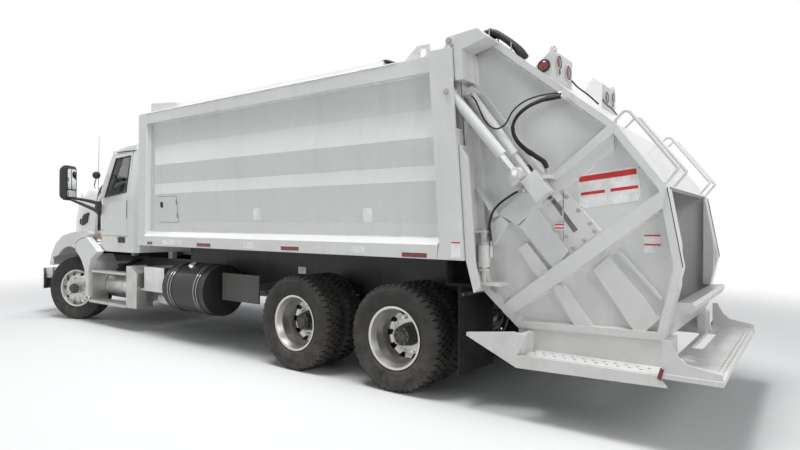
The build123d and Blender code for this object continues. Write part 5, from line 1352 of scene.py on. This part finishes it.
def straight_rays(tree):
    """1 where the camera sees a surface, directly, in a reflection or through glass, and 0 for light."""
    path = add(tree, "LightPath").outputs
    through = combine(tree, "MAXIMUM", path["Is Glossy Ray"], path["Is Transmission Ray"])
    return combine(tree, "MAXIMUM", path["Is Camera Ray"], through)


def studio_floor(scene):
    """Grey floor that fades to white far out, where the camera sees it."""
    half = 90.0
    mesh = bpy.data.meshes.new("studio_floor")
    corners = [(-half, -half, 0), (half, -half, 0), (half, half, 0), (-half, half, 0)]
    mesh.from_pydata(corners, [], [(0, 1, 2, 3)])
    tree, shader = new_finish("studio_floor", 0.9)
    shader.inputs["Base Color"].default_value = (*scene.truck_colours.floor, 1)
    spot = add(tree, "NewGeometry").outputs["Position"]
    far = add(tree, "VectorMath", {0: spot}, operation="LENGTH").outputs["Value"]
    reach = {"Value": far, "From Min": 6.0, "From Max": 13.0}
    fade = add(tree, "MapRange", reach, interpolation_type="SMOOTHSTEP").outputs[0]
    shown = combine(tree, "MULTIPLY", fade, straight_rays(tree))
    glow = add(tree, "Emission", {"Color": (1, 1, 1, 1), "Strength": 1.0}).outputs[0]
    mix = add(tree, "MixShader", {0: shown, 1: shader.outputs[0], 2: glow}).outputs[0]
    tree.links.new(mix, tree.nodes["Material Output"].inputs["Surface"])
    mesh.materials.append(finish["studio_floor"])
    return bpy.data.objects.new("studio_floor", mesh)


def studio_world(scene):
    """White to the camera, a soft cool light to the truck."""
    scene.world = bpy.data.worlds.new("studio")
    scene.world.use_nodes = True
    tree = scene.world.node_tree
    tree.nodes.clear()
    white = add(tree, "Background", {"Color": (1, 1, 1, 1), "Strength": 1.0}).outputs[0]
    soft = add(tree, "Background", {"Color": (0.88, 0.94, 1.0, 1), "Strength": 0.28}).outputs[0]
    mix = add(tree, "MixShader", {0: straight_rays(tree), 1: soft, 2: white}).outputs[0]
    add(tree, "OutputWorld", {"Surface": mix})


# Lamps: name, place, what it points at, width, height, watts
studio_lamps = [
    ("key_lamp", (-1.5, 2.2, 12.0), (-0.3, 0.6, 1.0), 5.0, 4.0, 1600.0),
    ("rear_lamp", (-12.0, 4.0, 6.0), (-1.0, 0.0, 1.5), 5.0, 4.0, 330.0),
    ("side_lamp", (1.0, 12.0, 4.5), (0.5, 0.0, 1.2), 10.0, 4.0, 20.0),
    ("front_lamp", (11.0, 2.0, 7.0), (3.0, 0.0, 1.2), 5.0, 5.0, 260.0),
]


class TRUCK_OT_stage(bpy.types.Operator):
    """Studio floor, lamps and the camera at the photograph's angle"""

    bl_idname = "truck.stage"
    bl_label = "Stage"

    def execute(self, context):
        scene = context.scene
        floor = studio_floor(scene)
        scene.collection.objects.link(floor)
        studio_world(scene)
        for name, place, target, wide, high, watts in studio_lamps:
            light = bpy.data.lights.new(name, "AREA")
            light.shape = "RECTANGLE"
            light.size = wide
            light.size_y = high
            light.energy = watts
            lamp = bpy.data.objects.new(name, light)
            scene.collection.objects.link(lamp)
            lamp.location = place
            lamp.rotation_euler = (Vector(target) - Vector(place)).to_track_quat("-Z", "Y").to_euler()
        # the camera looks forward and to the right from behind the left rear corner
        place = at(-3.1587, 5.4627, 1.5562)
        yaw, pitch, roll = 0.9421, 0.0011, 0.0072
        look = Vector((math.cos(yaw) * math.cos(pitch), -math.sin(yaw) * math.cos(pitch), math.sin(pitch)))
        right = Vector((-math.sin(yaw), -math.cos(yaw), 0))
        up = right.cross(look)
        turned = Matrix((spoke(right, up, roll), spoke(up, -right, roll), -look)).transposed()
        data = bpy.data.cameras.new("photo_camera")
        data.lens = scene.truck_sizes.lens_mm
        data.sensor_width = 36.0
        data.clip_end = 300.0
        camera = bpy.data.objects.new("photo_camera", data)
        scene.collection.objects.link(camera)
        camera.matrix_world = Matrix.Translation(place) @ turned.to_4x4()
        scene.camera = camera
        scene.view_settings.view_transform = "Standard"
        return {"FINISHED"}


class TRUCK_PT_panel(bpy.types.Panel):
    """Sizes, colours and steps, in the order in which they run"""

    bl_label = "Refuse truck"
    bl_idname = "TRUCK_PT_panel"
    bl_space_type = "VIEW_3D"
    bl_region_type = "UI"
    bl_category = "Refuse truck"

    def draw(self, context):
        layout = self.layout
        for group in (context.scene.truck_sizes, context.scene.truck_colours):
            for name in group.__annotations__:
                layout.prop(group, name)
        for step in steps:
            layout.operator(step.bl_idname)


steps = (
    TRUCK_OT_finishes,
    TRUCK_OT_tyres,
    TRUCK_OT_wheel_parts,
    TRUCK_OT_hoses,
    TRUCK_OT_lamps,
    TRUCK_OT_signs,
    TRUCK_OT_gate_details,
    TRUCK_OT_treads,
    TRUCK_OT_body_details,
    TRUCK_OT_lift_details,
    TRUCK_OT_cab_details,
    TRUCK_OT_bonnet_details,
    TRUCK_OT_door_mirrors,
    TRUCK_OT_cab_skins,
    TRUCK_OT_tank_trim,
    TRUCK_OT_stage,
)
classes = (TruckSizes, TruckColours) + steps + (TRUCK_PT_panel,)


def register():
    for cls in classes:
        bpy.utils.register_class(cls)
    bpy.types.Scene.truck_sizes = bpy.props.PointerProperty(type=TruckSizes)
    bpy.types.Scene.truck_colours = bpy.props.PointerProperty(type=TruckColours)


def unregister():
    del bpy.types.Scene.truck_colours
    del bpy.types.Scene.truck_sizes
    for cls in reversed(classes):
        bpy.utils.unregister_class(cls)


def main():
    register()
    bpy.ops.truck.finishes()
    bpy.ops.truck.tyres()
    bpy.ops.truck.wheel_parts()
    bpy.ops.truck.hoses()
    bpy.ops.truck.lamps()
    bpy.ops.truck.signs()
    bpy.ops.truck.gate_details()
    bpy.ops.truck.treads()
    bpy.ops.truck.body_details()
    bpy.ops.truck.lift_details()
    bpy.ops.truck.cab_details()
    bpy.ops.truck.bonnet_details()
    bpy.ops.truck.door_mirrors()
    bpy.ops.truck.cab_skins()
    bpy.ops.truck.tank_trim()
    bpy.ops.truck.stage()


if __name__ == "__main__":
    main()
